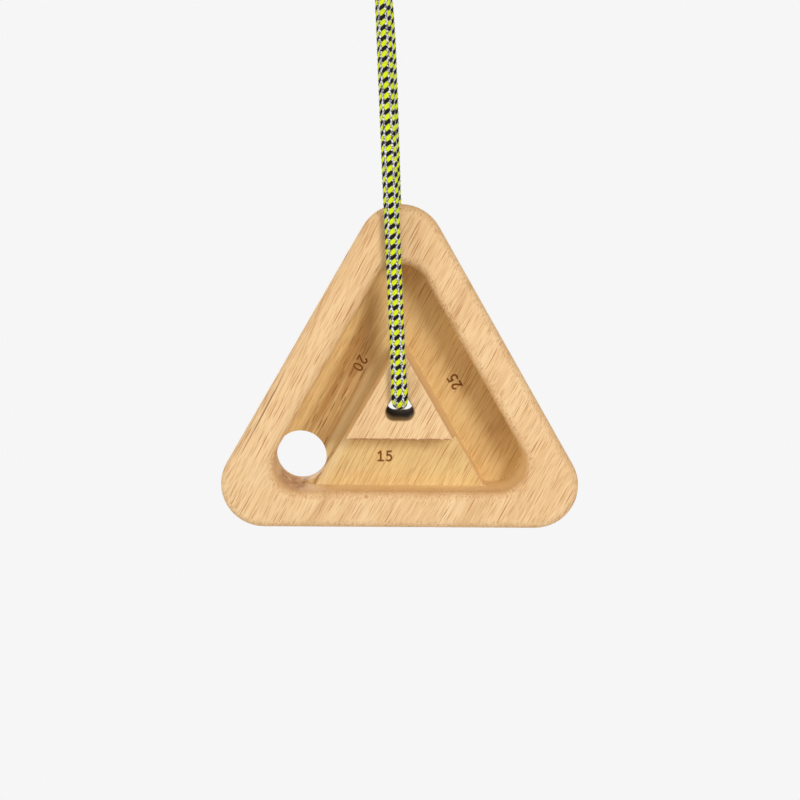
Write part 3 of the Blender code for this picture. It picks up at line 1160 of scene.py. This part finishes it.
@dataclass
class HangingCord:
    """The one length of cord: down the front, through the board, up the back, knot and eye.

    Places are given as side, depth and rise from the seat, where the cord bears in its hole. The
    cord leans a little, so side runs to the right and up runs along the leaning cord. Routes are
    written in millimetres, as in the CAD.
    """

    tube: BraidedTube
    sheath: BraidedSheath
    sizes: BoardSizes = BoardSizes()
    radius: float = 3.0 * MM
    clearance: float = 0.3 * MM
    lean: float = math.radians(2.75)
    seat: Place = (8.352455 * MM, 0.0, -241.627526 * MM)
    hole_edge: float = 1.0 * MM
    bend_points: int = 61
    apex_rise: float = 76.175 * MM
    knot_rise: float = 176.0 * MM
    knot_turns: float = 3.5
    knot_gap: float = 0.5 * MM
    knot_start: float = 0.75
    turn_points: int = 24
    wrap_points_in_all: int = 2000
    fine: float = 0.1 * MM
    ease_points: int = 7
    front_middle: float = 60.0 * MM
    plait_start: float = -1.22 * MM
    even_reach: float = 37.0 * MM
    drawn_out: float = 0.055
    twist: float = math.radians(-0.13) / MM
    press_depth: Span = (0.6 * MM, 2.8 * MM)
    press_rise: Span = (4.0 * MM, 12.0 * MM)
    eye_route: tuple[Span, ...] = (
        (3.25, 0.0), (3.4, 4.0), (5.2, 9.0), (8.4, 15.5), (11.0, 22.5),
        (11.4, 29.0), (8.6, 35.2), (4.6, 38.4), (0.0, 39.5),
    )
    pieces: list[bpy.types.Object] = field(default_factory=list)

    def __post_init__(self) -> None:
        """Work out the sizes that follow from those above."""
        self.strand_depth = self.sizes.half_thickness + self.radius + self.clearance
        self.bend = self.hole_edge + self.radius + self.clearance
        self.pitch = 2.0 * self.radius + self.knot_gap
        self.core = self.pitch / 2.0
        self.knot_height = (self.knot_turns + 1.0) * self.pitch
        self.side_axis = np.array([math.cos(self.lean), 0.0, math.sin(self.lean)])
        self.up_axis = np.array([-math.sin(self.lean), 0.0, math.cos(self.lean)])

    def placed(self, points: Array) -> Array:
        """Turn side, depth and rise into places of the model."""
        deep = np.array([0.0, 1.0, 0.0])
        return np.array(self.seat) + points @ np.stack([self.side_axis, deep, self.up_axis])

    def front_route(self) -> Array:
        """Return the front strand's route, from the board's hole up to the knot.

        Returns:
            Side, depth and rise of each point.
        """
        deep, rise = self.strand_depth / MM, self.apex_rise / MM
        route = [(-deep, high) for high in (12.0, 28.0, 46.0, 62.0, rise - 3.0)]
        route += [(-deep + 0.8, rise + 8.0), (-13.6, 103.0), (-9.4, 122.0), (-5.0, 141.0), (-1.5, 157.0)]
        route += [(0.0, 168.0), (0.0, (self.knot_rise - self.clearance) / MM)]
        return np.array([(0.0, depth, high) for depth, high in route]) * MM

    def back_route(self) -> Array:
        """Return the back strand's route, from the board's hole up to the knot.

        Returns:
            Side, depth and rise of each point.
        """
        deep, rise = self.strand_depth / MM, self.apex_rise / MM
        route = [(0.0, deep, 12.0), (0.1, deep, 28.0), (0.3, deep, 46.0), (0.5, deep, 62.0)]
        route += [(0.7, deep, rise - 3.0), (0.8, deep - 0.5, rise + 8.0), (1.0, 15.3, 103.0), (1.2, 12.6, 122.0)]
        route += [(1.2, 9.8, 141.0), (0.6, 7.7, 156.0), (-0.4, 7.0, 164.0), (-0.8, 7.0, self.knot_rise / MM - 5.0)]
        return np.array(route) * MM

    def hole_bend(self, face: Face) -> Array:
        """Return the quarter turn out of the hole and up a face: depth d + r sin w, rise r - r cos w.

        Args:
            face: the face up which the cord turns.

        Returns:
            Side, depth and rise of each point.
        """
        angle = np.linspace(0.0, math.pi / 2.0, self.bend_points)
        depth = face.value * (self.sizes.half_thickness - self.hole_edge + self.bend * np.sin(angle))
        return np.column_stack([np.zeros_like(angle), depth, self.bend * (1.0 - np.cos(angle))])

    def strand_line(self) -> Array:
        """Return the free cord's line: down the front, through the hole and up the back.

        Returns:
            Side, depth and rise of each point.
        """
        front_bend, back_bend = self.hole_bend(Face.FRONT), self.hole_bend(Face.BACK)
        front = smooth_curve(np.vstack([front_bend[-1:], self.front_route()]), self.fine)
        back = smooth_curve(np.vstack([back_bend[-1:], self.back_route()]), self.fine)
        return np.vstack([front[::-1], front_bend[-2::-1], back_bend[:-1], back])

    def wrap_points(self, turn: Array) -> Array:
        """Return places on the wraps round the two core strands.

        A turn follows the outline of two circles side by side, straight for one pitch and then round
        half a circle, from the middle of the back to the right, and rises by one pitch.

        Args:
            turn: how many turns from the start, at each place.

        Returns:
            Side, depth and rise of each place.
        """
        straight, wrap = 2.0 * self.core, self.pitch
        arc = math.pi * wrap
        travel = np.mod(turn, 1.0) * 2.0 * (straight + arc) + straight / 2.0
        half, travel = np.divmod(travel, straight + arc)
        angle = np.clip(travel - straight, 0.0, None) / wrap
        level = travel < straight
        side = np.where(level, travel - straight / 2.0, straight / 2.0 + wrap * np.sin(angle))
        depth = np.where(level, wrap, wrap * np.cos(angle))
        flip = np.where(np.mod(half, 2.0) == 1.0, -1.0, 1.0)
        rise = self.knot_rise + self.pitch * (self.knot_start + turn)
        return np.column_stack([self.core + flip * side, flip * depth, rise])

    def wrap_line(self) -> Array:
        """Return the back strand's end: into the knot, round it and out as a tail.

        Returns:
            Side, depth and rise of each point.
        """
        wrap, rise = self.pitch / MM, self.knot_rise / MM
        top = rise + wrap * (self.knot_start + self.knot_turns)
        enter = [(-0.8, 7.0, rise - 5.0 + self.clearance / MM), (-0.7, 7.0, rise - 1.0), (0.6, wrap + 0.2, rise + 3.0)]
        leave = [(2.0, -wrap - 0.2, top + 0.8), (-0.9, -wrap - 0.6, top + 3.6)]
        leave += [(-2.0, -wrap - 0.8, top + 8.0), (-2.4, -wrap - 1.2, top + 16.0)]
        edge = 1.0 / self.turn_points
        turns = self.wrap_points(np.linspace(edge, self.knot_turns - edge, self.wrap_points_in_all))
        start = smooth_curve(np.vstack([np.array(enter) * MM, turns[:1]]), self.fine)
        end = smooth_curve(np.vstack([turns[-1:], np.array(leave) * MM]), self.fine)
        return np.vstack([start[:-1], turns, end[1:]])

    def eye_line(self) -> Array:
        """Return the front strand's end: up through the knot, round the eye and back as a tail.

        Returns:
            Side, depth and rise of each point.
        """
        core, side, rise = self.core / MM, self.pitch / MM, self.knot_rise / MM
        middle, top = rise + self.knot_height / MM / 2.0, rise + self.knot_height / MM
        below = [(0.0, 0.0, rise), (0.0, 0.0, middle)]
        left = [(core - half, 0.0, top + high) for half, high in self.eye_route]
        right = [(core + half, 0.0, top + high) for half, high in reversed(self.eye_route[:-1])]
        tail = [(side, 0.0, middle), (side, 0.0, rise + 4.0)]
        tail += [(side + 0.6, -0.4, rise - 4.0), (side + 2.4, -1.2, rise - 12.0)]
        return smooth_curve(np.array(below + left + right + tail) * MM, self.fine)

    def press(self, line: Array) -> Array:
        """Return the axis along which the cord is pressed wider, at each place of its line.

        It points sideways. The press is hard just outside the hole's edges: it grows with the depth
        past the board's faces and fades with the rise above the bend.

        Args:
            line: the cord's centres.

        Returns:
            The axis, as long as the press is hard.
        """
        outside = smooth_step(np.abs(line[:, 1]) - self.sizes.half_thickness, *self.press_depth)
        above = smooth_step(line[:, 2] - self.seat[2], *self.press_rise)
        return (outside * (1.0 - above))[:, None] * self.side_axis

    def stretch(self, line: Array) -> tuple[Stretch, float]:
        """Work out the cord's axes, its lay and its press.

        Near the board the plait is even. Above the reach, seen from the middle of the front strand,
        it is drawn out by a share and twisted by an angle for each metre.

        Args:
            line: the whole cord's centres, evenly spaced.

        Returns:
            The whole cord as one stretch, and the angle of the yarn that faces the front.
        """
        travel = distance_along(line)
        axes = untwisted_frames(line)
        off_middle = np.abs(line[:, 2] - self.seat[2] - self.front_middle)
        middle = int(np.argmin(np.where(line[:, 1] > 0.0, np.inf, off_middle)))
        from_middle = travel - travel[middle]
        above = np.minimum(from_middle + self.even_reach, 0.0)
        rows = from_middle - above * self.drawn_out + self.plait_start
        towards = np.array([0.0, -1.0, 0.0])
        facing = math.atan2(float(axes[2][middle] @ towards), float(axes[1][middle] @ towards))
        whole = Stretch(line, travel, *axes, rows, above * self.twist, self.press(line))
        return whole, facing - math.pi / (2.0 * self.tube.plait.yarns)

    def build(self) -> None:
        """Make the cord's three pieces on one line, so that the plait runs on from piece to piece."""
        lines = [self.eye_line()[::-1], self.strand_line(), self.wrap_line()]
        route = self.placed(np.vstack(lines))
        ends = np.cumsum([len(line) for line in lines])
        travel = distance_along(route)
        cuts = np.array([(travel[end - 1] + travel[end]) / 2.0 for end in ends[:2]]) / travel[-1]
        whole, turn = self.stretch(eased_line(even_line(route, self.tube.spacing), self.ease_points))
        low, high = np.searchsorted(whole.travel, cuts * whole.travel[-1])
        spans = {
            "hanging_eye_braid": (0, low, (Tip.MELTED, Tip.JOINED)),
            "cord_loop_braid": (low, high, (Tip.JOINED, Tip.JOINED)),
            "knot_wraps_braid": (high, len(whole.line) - 1, (Tip.JOINED, Tip.MELTED)),
        }
        finish = self.sheath.material()
        for name, (start, stop, tips) in spans.items():
            piece = self.tube.piece(name, whole.part(start, stop), turn, tips)
            piece.data.materials.append(finish)
            self.pieces.append(piece)
        self.loop_line = whole.part(low, high).line

    def place(self) -> None:
        eye, loop, wraps = self.pieces
        for piece, node in ((loop, "cord_loop"), (wraps, "knot_wraps"), (eye, "hanging_eye")):
            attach(piece, "cord")
            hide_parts(node)
            log.info("%s stands for %s with %d faces", piece.name, node, len(piece.data.polygons))


@dataclass(frozen=True)
class Numeral:
    """One engraved number, and where it stands: its start from the hole's axis and its floor."""

    text: str
    start: Span
    heading: float
    depth: float


@dataclass(frozen=True)
class Stroke:
    """One stroke of a digit, on a cell one unit high: a smooth curve or straight lines."""

    curved: bool
    points: tuple[Span, ...]


DIGITS: dict[str, tuple[Stroke, ...]] = {
    "0": (
        Stroke(True, (
            (0.29, 1.0), (0.12, 0.90), (0.04, 0.68), (0.02, 0.50), (0.04, 0.32), (0.12, 0.10), (0.29, 0.0),
            (0.46, 0.10), (0.54, 0.32), (0.56, 0.50), (0.54, 0.68), (0.46, 0.90), (0.29, 1.0),
        )),
    ),
    "1": (
        Stroke(False, ((0.06, 0.80), (0.30, 1.0))),
        Stroke(False, ((0.30, 1.0), (0.30, 0.0))),
        Stroke(False, ((0.05, 0.0), (0.55, 0.0))),
    ),
    "2": (
        Stroke(True, (
            (0.05, 0.78), (0.12, 0.93), (0.29, 1.0), (0.46, 0.93),
            (0.52, 0.76), (0.46, 0.57), (0.27, 0.28), (0.04, 0.0),
        )),
        Stroke(False, ((0.04, 0.0), (0.55, 0.0))),
    ),
    "5": (
        Stroke(False, ((0.50, 1.0), (0.12, 1.0))),
        Stroke(False, ((0.12, 1.0), (0.09, 0.56))),
        Stroke(True, ((0.09, 0.56), (0.28, 0.62), (0.46, 0.53), (0.54, 0.32), (0.46, 0.10), (0.26, 0.0), (0.04, 0.05))),
    ),
}


@dataclass
class FingerBoard:
    """The triangular board, milled from one piece, with the depth of each trench burnt into it."""

    wood: Rubberwood
    halo: Scorch
    char: Scorch
    sizes: BoardSizes = BoardSizes()
    merge_reach: float = 0.002 * MM
    cut_reach: float = 0.001 * MM
    flat_angle: float = math.radians(0.5)
    level_reach: float = 0.05 * MM
    wall_facing: float = 0.99
    floor_facing: float = 0.999
    edge_round: float = 0.7 * MM
    edge_steps: int = 4
    foot_round: float = 1.2 * MM
    foot_steps: int = 5
    folded_from: float = math.radians(60.0)
    crease_from: float = math.radians(38.0)
    wide_face: float = 150.0 * MM * MM
    wide_weight: float = 1e4
    normal_steps: float = 500.0
    finger_hole: Span = (-31.847545 * MM, -266.827526 * MM)
    finger_hole_reach: float = 13.0 * MM
    ledge_depth: float = 4.85 * MM
    ledge_reach: float = 2.6 * MM
    cove_stop: float = 7.5 * MM
    recess_reach: float = 34.5 * MM
    digit_height: float = 3.8 * MM
    digit_step: float = 3.4 * MM
    stroke_spacing: float = 0.25 * MM
    stroke_around: int = 10
    stroke_half_width: float = 0.31 * MM
    stroke_height: float = 0.030 * MM
    stroke_ends: tuple[Span, ...] = ((0.95, 0.3), (0.6, 0.8))
    halo_half_width: float = 0.44 * MM
    halo_height: float = 0.015 * MM
    numerals: tuple[Numeral, ...] = (
        Numeral("15", (-8.79 * MM, -23.36 * MM), 0.0, 15.0 * MM),
        Numeral("20", (-16.31 * MM, 18.84 * MM), math.radians(-120.0), 20.0 * MM),
        Numeral("25", (25.15 * MM, 5.96 * MM), math.radians(120.0), 25.0 * MM),
    )
    board: bpy.types.Object | None = None
    numbers: bpy.types.Object | None = None

    def merged_copy(self) -> bpy.types.Object:
        """Copy the CAD board, merge its loose triangles and clear the edges inside its flat faces.

        Returns:
            The copy, which is an object of its own.
        """
        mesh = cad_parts["board"].data.copy()
        mesh.name = "board_wood"
        shell = bmesh.new()
        shell.from_mesh(mesh)
        bmesh.ops.remove_doubles(shell, verts=shell.verts, dist=self.merge_reach)
        bmesh.ops.dissolve_limit(shell, angle_limit=self.flat_angle, verts=shell.verts, edges=shell.edges)
        self.cut_beside_finger_hole(shell)
        shell.to_mesh(mesh)
        shell.free()
        mesh.materials.clear()
        return stand("board_wood", mesh)

    def cut_beside_finger_hole(self, shell: bmesh.types.BMesh) -> None:
        """Cut the left trench's walls and floor across, so that the coves at their feet can end there.

        The cut is square to the walls, a little above the middle of the finger hole.

        Args:
            shell: the board's mesh, which gains the cut's edges.
        """
        into_board, along_wall = Vector((ROOT_3 / 2.0, 0.0, -0.5)), Vector((0.5, 0.0, ROOT_3 / 2.0))
        place = Vector((self.finger_hole[0], 0.0, self.finger_hole[1])) + along_wall * self.cove_stop
        centre = Vector((self.sizes.hole_axis[0], 0.0, self.sizes.hole_axis[1]))
        floor = self.numerals[1].depth - self.sizes.half_thickness
        chosen: list[bmesh.types.BMFace] = []
        for face in shell.faces:
            middle = face.calc_center_median()
            inside = (middle - centre).dot(into_board) > -self.recess_reach
            wall = abs(face.normal.dot(into_board)) > self.wall_facing and inside and middle.y < floor
            if wall or (face.normal.y < -self.floor_facing and abs(middle.y - floor) < self.level_reach):
                chosen.append(face)
        edges = {edge for face in chosen for edge in face.edges}
        corners = {corner for face in chosen for corner in face.verts}
        geometry = [*chosen, *edges, *corners]
        bmesh.ops.bisect_plane(shell, geom=geometry, dist=self.cut_reach, plane_co=place, plane_no=along_wall)

    def stroke_line(self, stroke: Stroke, numeral: Numeral, shift: float) -> Array:
        """Lay one stroke of a digit on the floor of its trench.

        Args:
            stroke: the stroke on its cell.
            numeral: the number that the stroke is part of.
            shift: how far along the number its digit starts.

        Returns:
            The stroke's centre line.
        """
        flat = np.array(stroke.points) * self.digit_height
        ahead = np.array([math.cos(numeral.heading), math.sin(numeral.heading)])
        upward = np.array([-ahead[1], ahead[0]])
        flat = np.array(numeral.start) + (flat[:, :1] + shift) * ahead + flat[:, 1:] * upward
        x, z = flat[:, 0] + self.sizes.hole_axis[0], flat[:, 1] + self.sizes.hole_axis[1]
        line = np.column_stack([x, np.full_like(x, numeral.depth - self.sizes.half_thickness), z])
        return smooth_curve(line, self.stroke_spacing) if stroke.curved else line

    def burnt_stroke(self, name: str, line: Array, half_width: float, height: float) -> bpy.types.Object:
        """Carry a flat oval along a stroke's line.

        A point is the centre plus half_width cos w sideways and height sin w out of the floor, so
        that half of a stroke is sunk in the floor. Two rings past each end shrink to close it.

        Args:
            name: the object's name.
            line: the stroke's centre line.
            half_width: half the stroke's width.
            height: how far the stroke stands proud.

        Returns:
            The stroke.
        """
        inward = np.array([0.0, 1.0, 0.0])
        angle = np.linspace(0.0, FULL_TURN, self.stroke_around, endpoint=False)[None, :, None]
        ahead = unit(np.gradient(line, axis=0))
        reach = np.array([share for share, _ in self.stroke_ends])[:, None] * half_width
        fit = np.array([size for _, size in self.stroke_ends])
        start, end = line[:1] - ahead[:1] * reach, line[-1:] + ahead[-1:] * reach[::-1]
        centre = np.vstack([start, line, end])
        size = np.concatenate([fit, np.ones(len(line)), fit[::-1]])[:, None, None]
        across = np.cross(np.vstack([ahead[:1], ahead[:1], ahead, ahead[-1:], ahead[-1:]]), inward)
        oval = half_width * np.cos(angle) * across[:, None] + height * np.sin(angle) * inward
        return skin(name, centre[:, None] + size * oval)

    def burnt_strokes(self, half_width: float, height: float, slot: int) -> list[bpy.types.Object]:
        """Make the strokes of every number in one width.

        Args:
            half_width: half the strokes' width.
            height: how far the strokes stand proud.
            slot: the strokes' material slot.

        Returns:
            One object for each stroke.
        """
        strokes = []
        for numeral in self.numerals:
            for index, digit in enumerate(numeral.text):
                for stroke in DIGITS[digit]:
                    line = self.stroke_line(stroke, numeral, index * self.digit_step)
                    made = self.burnt_stroke(f"stroke_{len(strokes)}", line, half_width, height)
                    slots = np.full(len(made.data.polygons), slot, np.int32)
                    made.data.polygons.foreach_set("material_index", slots)
                    strokes.append(made)
        return strokes

    def build_numbers(self) -> None:
        """Burn the depth of each trench into its floor: a pale scorched rim under each dark stroke."""
        strokes = self.burnt_strokes(self.halo_half_width, self.halo_height, 0)
        strokes += self.burnt_strokes(self.stroke_half_width, self.stroke_height, 1)
        joined = bmesh.new()
        for stroke in strokes:
            joined.from_mesh(stroke.data)
        bmesh.ops.recalc_face_normals(joined, faces=joined.faces)
        mesh = bpy.data.meshes.new("burnt_numbers")
        joined.to_mesh(mesh)
        joined.free()
        for stroke in strokes:
            bpy.data.objects.remove(stroke, do_unlink=True)
        mesh.polygons.foreach_set("use_smooth", np.ones(len(mesh.polygons), bool))
        for finish in (self.halo, self.char):
            mesh.materials.append(finish.material())
        self.numbers = stand("burnt_numbers", mesh)

    def folds(self, mesh: bpy.types.Mesh) -> tuple[Array, Array]:
        """Work out how each edge of a closed mesh is folded.

        The fold is the angle between the normals n and m of the edge's two faces. Its sign is that
        of (n x m) . d, where d is the edge's direction as the first face runs round it: positive on
        a ridge and negative in a hollow.

        Args:
            mesh: the mesh, of which each edge has two faces.

        Returns:
            Each edge's fold and its middle.
        """
        vertex = read_all(mesh.loops, "vertex_index", kind=int)
        edge = read_all(mesh.loops, "edge_index", kind=int)
        total = read_all(mesh.polygons, "loop_total", kind=int)
        normal = read_all(mesh.polygons, "normal", 3)
        place = read_all(mesh.vertices, "co", 3)
        owner = np.repeat(np.arange(len(total)), total)
        last = np.cumsum(total) - 1
        after = np.arange(1, len(vertex) + 1)
        after[last] = last - total + 1
        one, two = np.argsort(edge, kind="stable").reshape(-1, 2).T
        from_, to = place[vertex[one]], place[vertex[after[one]]]
        n, m = normal[owner[one]], normal[owner[two]]
        turn = np.cross(n, m)
        fold = np.arctan2(np.linalg.norm(turn, axis=1), np.sum(n * m, axis=1))
        return fold * np.sign(np.sum(turn * (to - from_), axis=1)), (from_ + to) / 2.0

    def soften(self, obj: bpy.types.Object, hollow: bool) -> None:
        """Round off the ridges, or fill the feet of the walls with a cove.

        The ledge where the finger hole meets the left wall stays sharp.

        Args:
            obj: the board.
            hollow: True for the feet of the walls, False for the ridges.
        """
        fold, middle = self.folds(obj.data)
        off_hole = np.hypot(middle[:, 0] - self.finger_hole[0], middle[:, 2] - self.finger_hole[1])
        off_ledge = np.abs(middle[:, 1] - self.ledge_depth)
        ledge = (off_hole < self.finger_hole_reach) & (off_ledge < self.ledge_reach)
        chosen = (fold < -self.folded_from) if hollow else (fold > self.folded_from)
        weight = obj.data.attributes.new("bevel_weight_edge", "FLOAT", "EDGE")
        weight.data.foreach_set("value", (chosen & ~ledge).astype(np.float32))
        bevel = obj.modifiers.new("soft_edges", "BEVEL")
        bevel.width = self.foot_round if hollow else self.edge_round
        bevel.segments = self.foot_steps if hollow else self.edge_steps
        bevel.limit_method = "WEIGHT"
        bevel.use_clamp_overlap = False
        bpy.context.view_layer.update()
        rounded = bpy.data.meshes.new_from_object(obj.evaluated_get(bpy.context.evaluated_depsgraph_get()))
        obj.modifiers.clear()
        obj.data = rounded
        left_over = rounded.attributes.get("bevel_weight_edge")
        if left_over:
            rounded.attributes.remove(left_over)

    def shade_evenly(self, mesh: bpy.types.Mesh) -> None:
        """Set the normals, so that wide faces look flat and the round edges between them round.

        Coplanar faces count together, and are wide from a size on. A corner of a wide face takes the
        face's own normal. Any other corner takes the mean of the faces at its vertex that lean less
        than a crease from its own, weighted by their areas, where a wide face outweighs the rest.

        Args:
            mesh: the board's mesh.
        """
        vertex = read_all(mesh.loops, "vertex_index", kind=int)
        total = read_all(mesh.polygons, "loop_total", kind=int)
        area = read_all(mesh.polygons, "area")
        normal = read_all(mesh.polygons, "normal", 3)
        centre = read_all(mesh.polygons, "center", 3)
        level = np.sum(normal * centre, axis=1, keepdims=True)
        key = np.round(np.hstack([normal * self.normal_steps, level / self.level_reach])).astype(int)
        plane = np.unique(key, axis=0, return_inverse=True)[1].ravel()
        wide = np.bincount(plane, area)[plane] > self.wide_face
        owner = np.repeat(np.arange(len(total)), total)
        order = np.argsort(vertex, kind="stable")
        count = np.bincount(vertex)
        start = np.cumsum(count) - count
        mates = count[vertex]
        here = np.repeat(np.arange(len(vertex)), mates)
        step = np.arange(len(here)) - np.repeat(np.cumsum(mates) - mates, mates)
        there = owner[order[start[vertex[here]] + step]]
        lean = np.sum(normal[owner[here]] * normal[there], axis=1)
        weight = area[there] * np.where(wide[there], self.wide_weight, 1.0) * (lean > math.cos(self.crease_from))
        mean = np.zeros((len(vertex), 3))
        np.add.at(mean, here, weight[:, None] * normal[there])
        own = (wide[owner] | (np.linalg.norm(mean, axis=1) < NEARLY_NONE))[:, None]
        mesh.polygons.foreach_set("use_smooth", np.ones(len(total), bool))
        mesh.normals_split_custom_set(unit(np.where(own, normal[owner], mean)).tolist())

    def build(self) -> None:
        """Copy the board, soften its milled edges, dress it and burn the numbers into it."""
        self.board = self.merged_copy()
        self.board.data.materials.append(self.wood.material())
        self.soften(self.board, hollow=True)
        self.soften(self.board, hollow=False)
        self.shade_evenly(self.board.data)
        self.build_numbers()

    def place(self) -> None:
        """Let the board ride on its body in place of its CAD solid, with its numbers."""
        for piece in (self.board, self.numbers):
            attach(piece, "board")
            log.info("%s has %d faces", piece.name, len(piece.data.polygons))
        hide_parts("board")


def turned(angle: float, first: int, second: int) -> Array:
    """Return the matrix that turns one axis towards another by an angle.

    Args:
        angle: how far it turns.
        first: the axis that is turned.
        second: the axis that it turns to.

    Returns:
        The matrix, by which columns are multiplied.
    """
    matrix = np.eye(3)
    matrix[first, first] = matrix[second, second] = math.cos(angle)
    matrix[second, first], matrix[first, second] = math.sin(angle), -math.sin(angle)
    return matrix


@dataclass(frozen=True)
class StudioCamera:
    """The camera: level with the top of the board, half a metre away, tipped down a little."""

    place: Place = (9.841 * MM, -515.0 * MM, -165.435 * MM)
    tip_down: float = 0.1493
    swing: float = -0.0029
    roll: float = 0.0051
    focal_px: float = 1303.07
    picture_px: float = 800.0
    sensor_mm: float = 36.0
    nearest: float = 50.0 * MM
    farthest: float = 50000.0 * MM

    def build(self) -> bpy.types.Object:
        """Set up the camera.

        Its axes, to the right, up and along the sight, are the product of a swing about the upright,
        a tip about the level and a roll about the line of sight.

        Returns:
            The camera.
        """
        axes = turned(self.swing, 2, 0) @ turned(self.tip_down, 1, 2) @ turned(self.roll, 0, 1)
        right, up, sight = (Vector((axis[0], axis[2], axis[1])) for axis in axes.T)
        data = bpy.data.cameras.new("studio_camera")
        data.sensor_width = self.sensor_mm
        data.lens = self.focal_px / self.picture_px * self.sensor_mm
        data.clip_start, data.clip_end = self.nearest, self.farthest
        camera = stand("studio_camera", data)
        aim = Matrix((right, up, -sight)).transposed().to_4x4()
        camera.matrix_world = Matrix.Translation(self.place) @ aim
        bpy.context.scene.camera = camera
        return camera


@dataclass(frozen=True)
class SoftLamp:
    """A square soft lamp that is aimed at the board."""

    name: str
    place: Place
    power: float
    width: float
    target: Place = (8.4 * MM, 0.0, -235.0 * MM)

    def build(self) -> bpy.types.Object:
        """Hang the lamp and turn it to its target.

        Returns:
            The lamp.
        """
        data = bpy.data.lights.new(self.name, "AREA")
        data.energy, data.size = self.power, self.width
        lamp = stand(self.name, data)
        sight = Vector(self.target) - Vector(self.place)
        lamp.matrix_world = Matrix.Translation(self.place) @ sight.to_track_quat("-Z", "Y").to_matrix().to_4x4()
        return lamp


@dataclass(frozen=True)
class PaleSurround:
    """The pale backdrop all round, and a floor below the view that fades into it.

    The light that falls from it is a little weaker from below than from above.
    """

    shade: Colour = screen_colour(246, 246, 246)
    ambient: Colour = (0.55, 0.55, 0.55)
    ambient_below: Colour = (0.44, 0.44, 0.44)
    ambient_step: Span = (-0.7, 0.7)
    floor_z: float = -750.0 * MM
    floor_radius: float = 640.0 * MM
    floor_middle: float = 0.02
    floor_rings: int = 12
    floor_around: int = 96
    fade_step: Span = (100.0 * MM, 608.0 * MM)
    glow: Span = (0.7, 0.3)

    def seen(self, bench: Bench) -> Signal:
        """Return 1 for a ray from the camera, a reflection or a look through glass.

        Args:
            bench: the finish or light that is being laid out.

        Returns:
            1 for such a ray, and 0 for light that falls.
        """
        path = bench.node("ShaderNodeLightPath", {})
        names = ("Is Camera Ray", "Is Glossy Ray", "Is Transmission Ray")
        return bench.most(*(Signal(bench, path.outputs[name]) for name in names))

    def build_world(self) -> None:
        """Light the scene evenly from all round, and show the backdrop's shade."""
        bench = Bench(bpy.data.worlds.new("pale_world"))
        _, _, upward = bench.parts(bench.coordinates("Generated"))
        level = bench.ramp(upward, *self.ambient_step, Slope.EVEN)
        lit = bench.tree.nodes["Background"]
        bench.feed(lit.inputs["Color"], bench.blend(level, self.ambient_below, self.ambient))
        shown = bench.node("ShaderNodeBackground", {"Color": self.shade})
        mixed = bench.shaders(self.seen(bench), lit.outputs[0], shown.outputs[0])
        bench.feed(bench.tree.nodes["World Output"].inputs["Surface"], mixed)
        bpy.context.scene.world = bench.owner

    def floor_paper(self) -> bpy.types.Material:
        """Lay out the floor's matt paper, which glows with the backdrop's shade towards its edge.

        Returns:
            The material.
        """
        bench = Bench(bpy.data.materials.new("floor_paper"))
        bench.tree.nodes.remove(bench.tree.nodes["Principled BSDF"])
        matt = bench.node("ShaderNodeBsdfDiffuse", {"Color": self.shade})
        glowing = bench.node("ShaderNodeEmission", {"Color": self.shade})
        x, y, _ = bench.parts(bench.coordinates("Object"))
        least, more = self.glow
        glow = bench.ramp(bench.distance(x, y), *self.fade_step) * more + least
        mixed = bench.shaders(self.seen(bench) * glow, matt.outputs[0], glowing.outputs[0])
        bench.feed(bench.tree.nodes["Material Output"].inputs["Surface"], mixed)
        return bench.owner

    def build_floor(self) -> bpy.types.Object:
        """Lay the floor: a disc whose own shading fades out towards its edge.

        Its points are rings of radius R k / n round the point under the board.

        Returns:
            The floor.
        """
        radius = np.linspace(self.floor_middle, 1.0, self.floor_rings)[:, None] * self.floor_radius
        angle = np.linspace(0.0, FULL_TURN, self.floor_around, endpoint=False)[None, :]
        x, y = radius * np.cos(angle), radius * np.sin(angle)
        rings = np.stack([x, y, np.full_like(x, self.floor_z)], axis=-1)
        faces = ring_quads(self.floor_rings, self.floor_around)[:, ::-1].tolist()
        mesh = bpy.data.meshes.new("pale_floor")
        mesh.from_pydata(rings.reshape(-1, 3).tolist(), [], faces + [list(range(self.floor_around))])
        mesh.materials.append(self.floor_paper())
        floor = stand("pale_floor", mesh)
        return floor


def main() -> None:
    """Build the camera, the cord, the board and the studio, and keep the model's sizes."""
    logging.basicConfig(level=logging.INFO, format="%(name)s: %(message)s")
    bpy.context.scene.view_settings.view_transform = "Standard"
    StudioCamera().build()

    plait = Plait()
    cord = HangingCord(tube=BraidedTube(plait), sheath=BraidedSheath(plait))
    cord.build()
    cord.place()

    board = FingerBoard(
        wood=Rubberwood(),
        halo=Scorch("scorched_wood", screen_colour(196, 146, 90), screen_colour(164, 114, 62)),
        char=Scorch("burnt_stroke", screen_colour(146, 94, 38), screen_colour(100, 58, 16)),
    )
    board.build()
    board.place()

    surround = PaleSurround()
    surround.build_world()
    surround.build_floor()
    SoftLamp("key_lamp", (352.0 * MM, -800.0 * MM, 5.0 * MM), 3.35, 0.24).build()
    SoftLamp("side_lamp", (-1000.0 * MM, -600.0 * MM, 5.0 * MM), 3.4, 0.50).build()
    SoftLamp("back_lamp", (-500.0 * MM, 1100.0 * MM, 100.0 * MM), 5.0, 0.60).build()


if __name__ == "__main__":
    main()
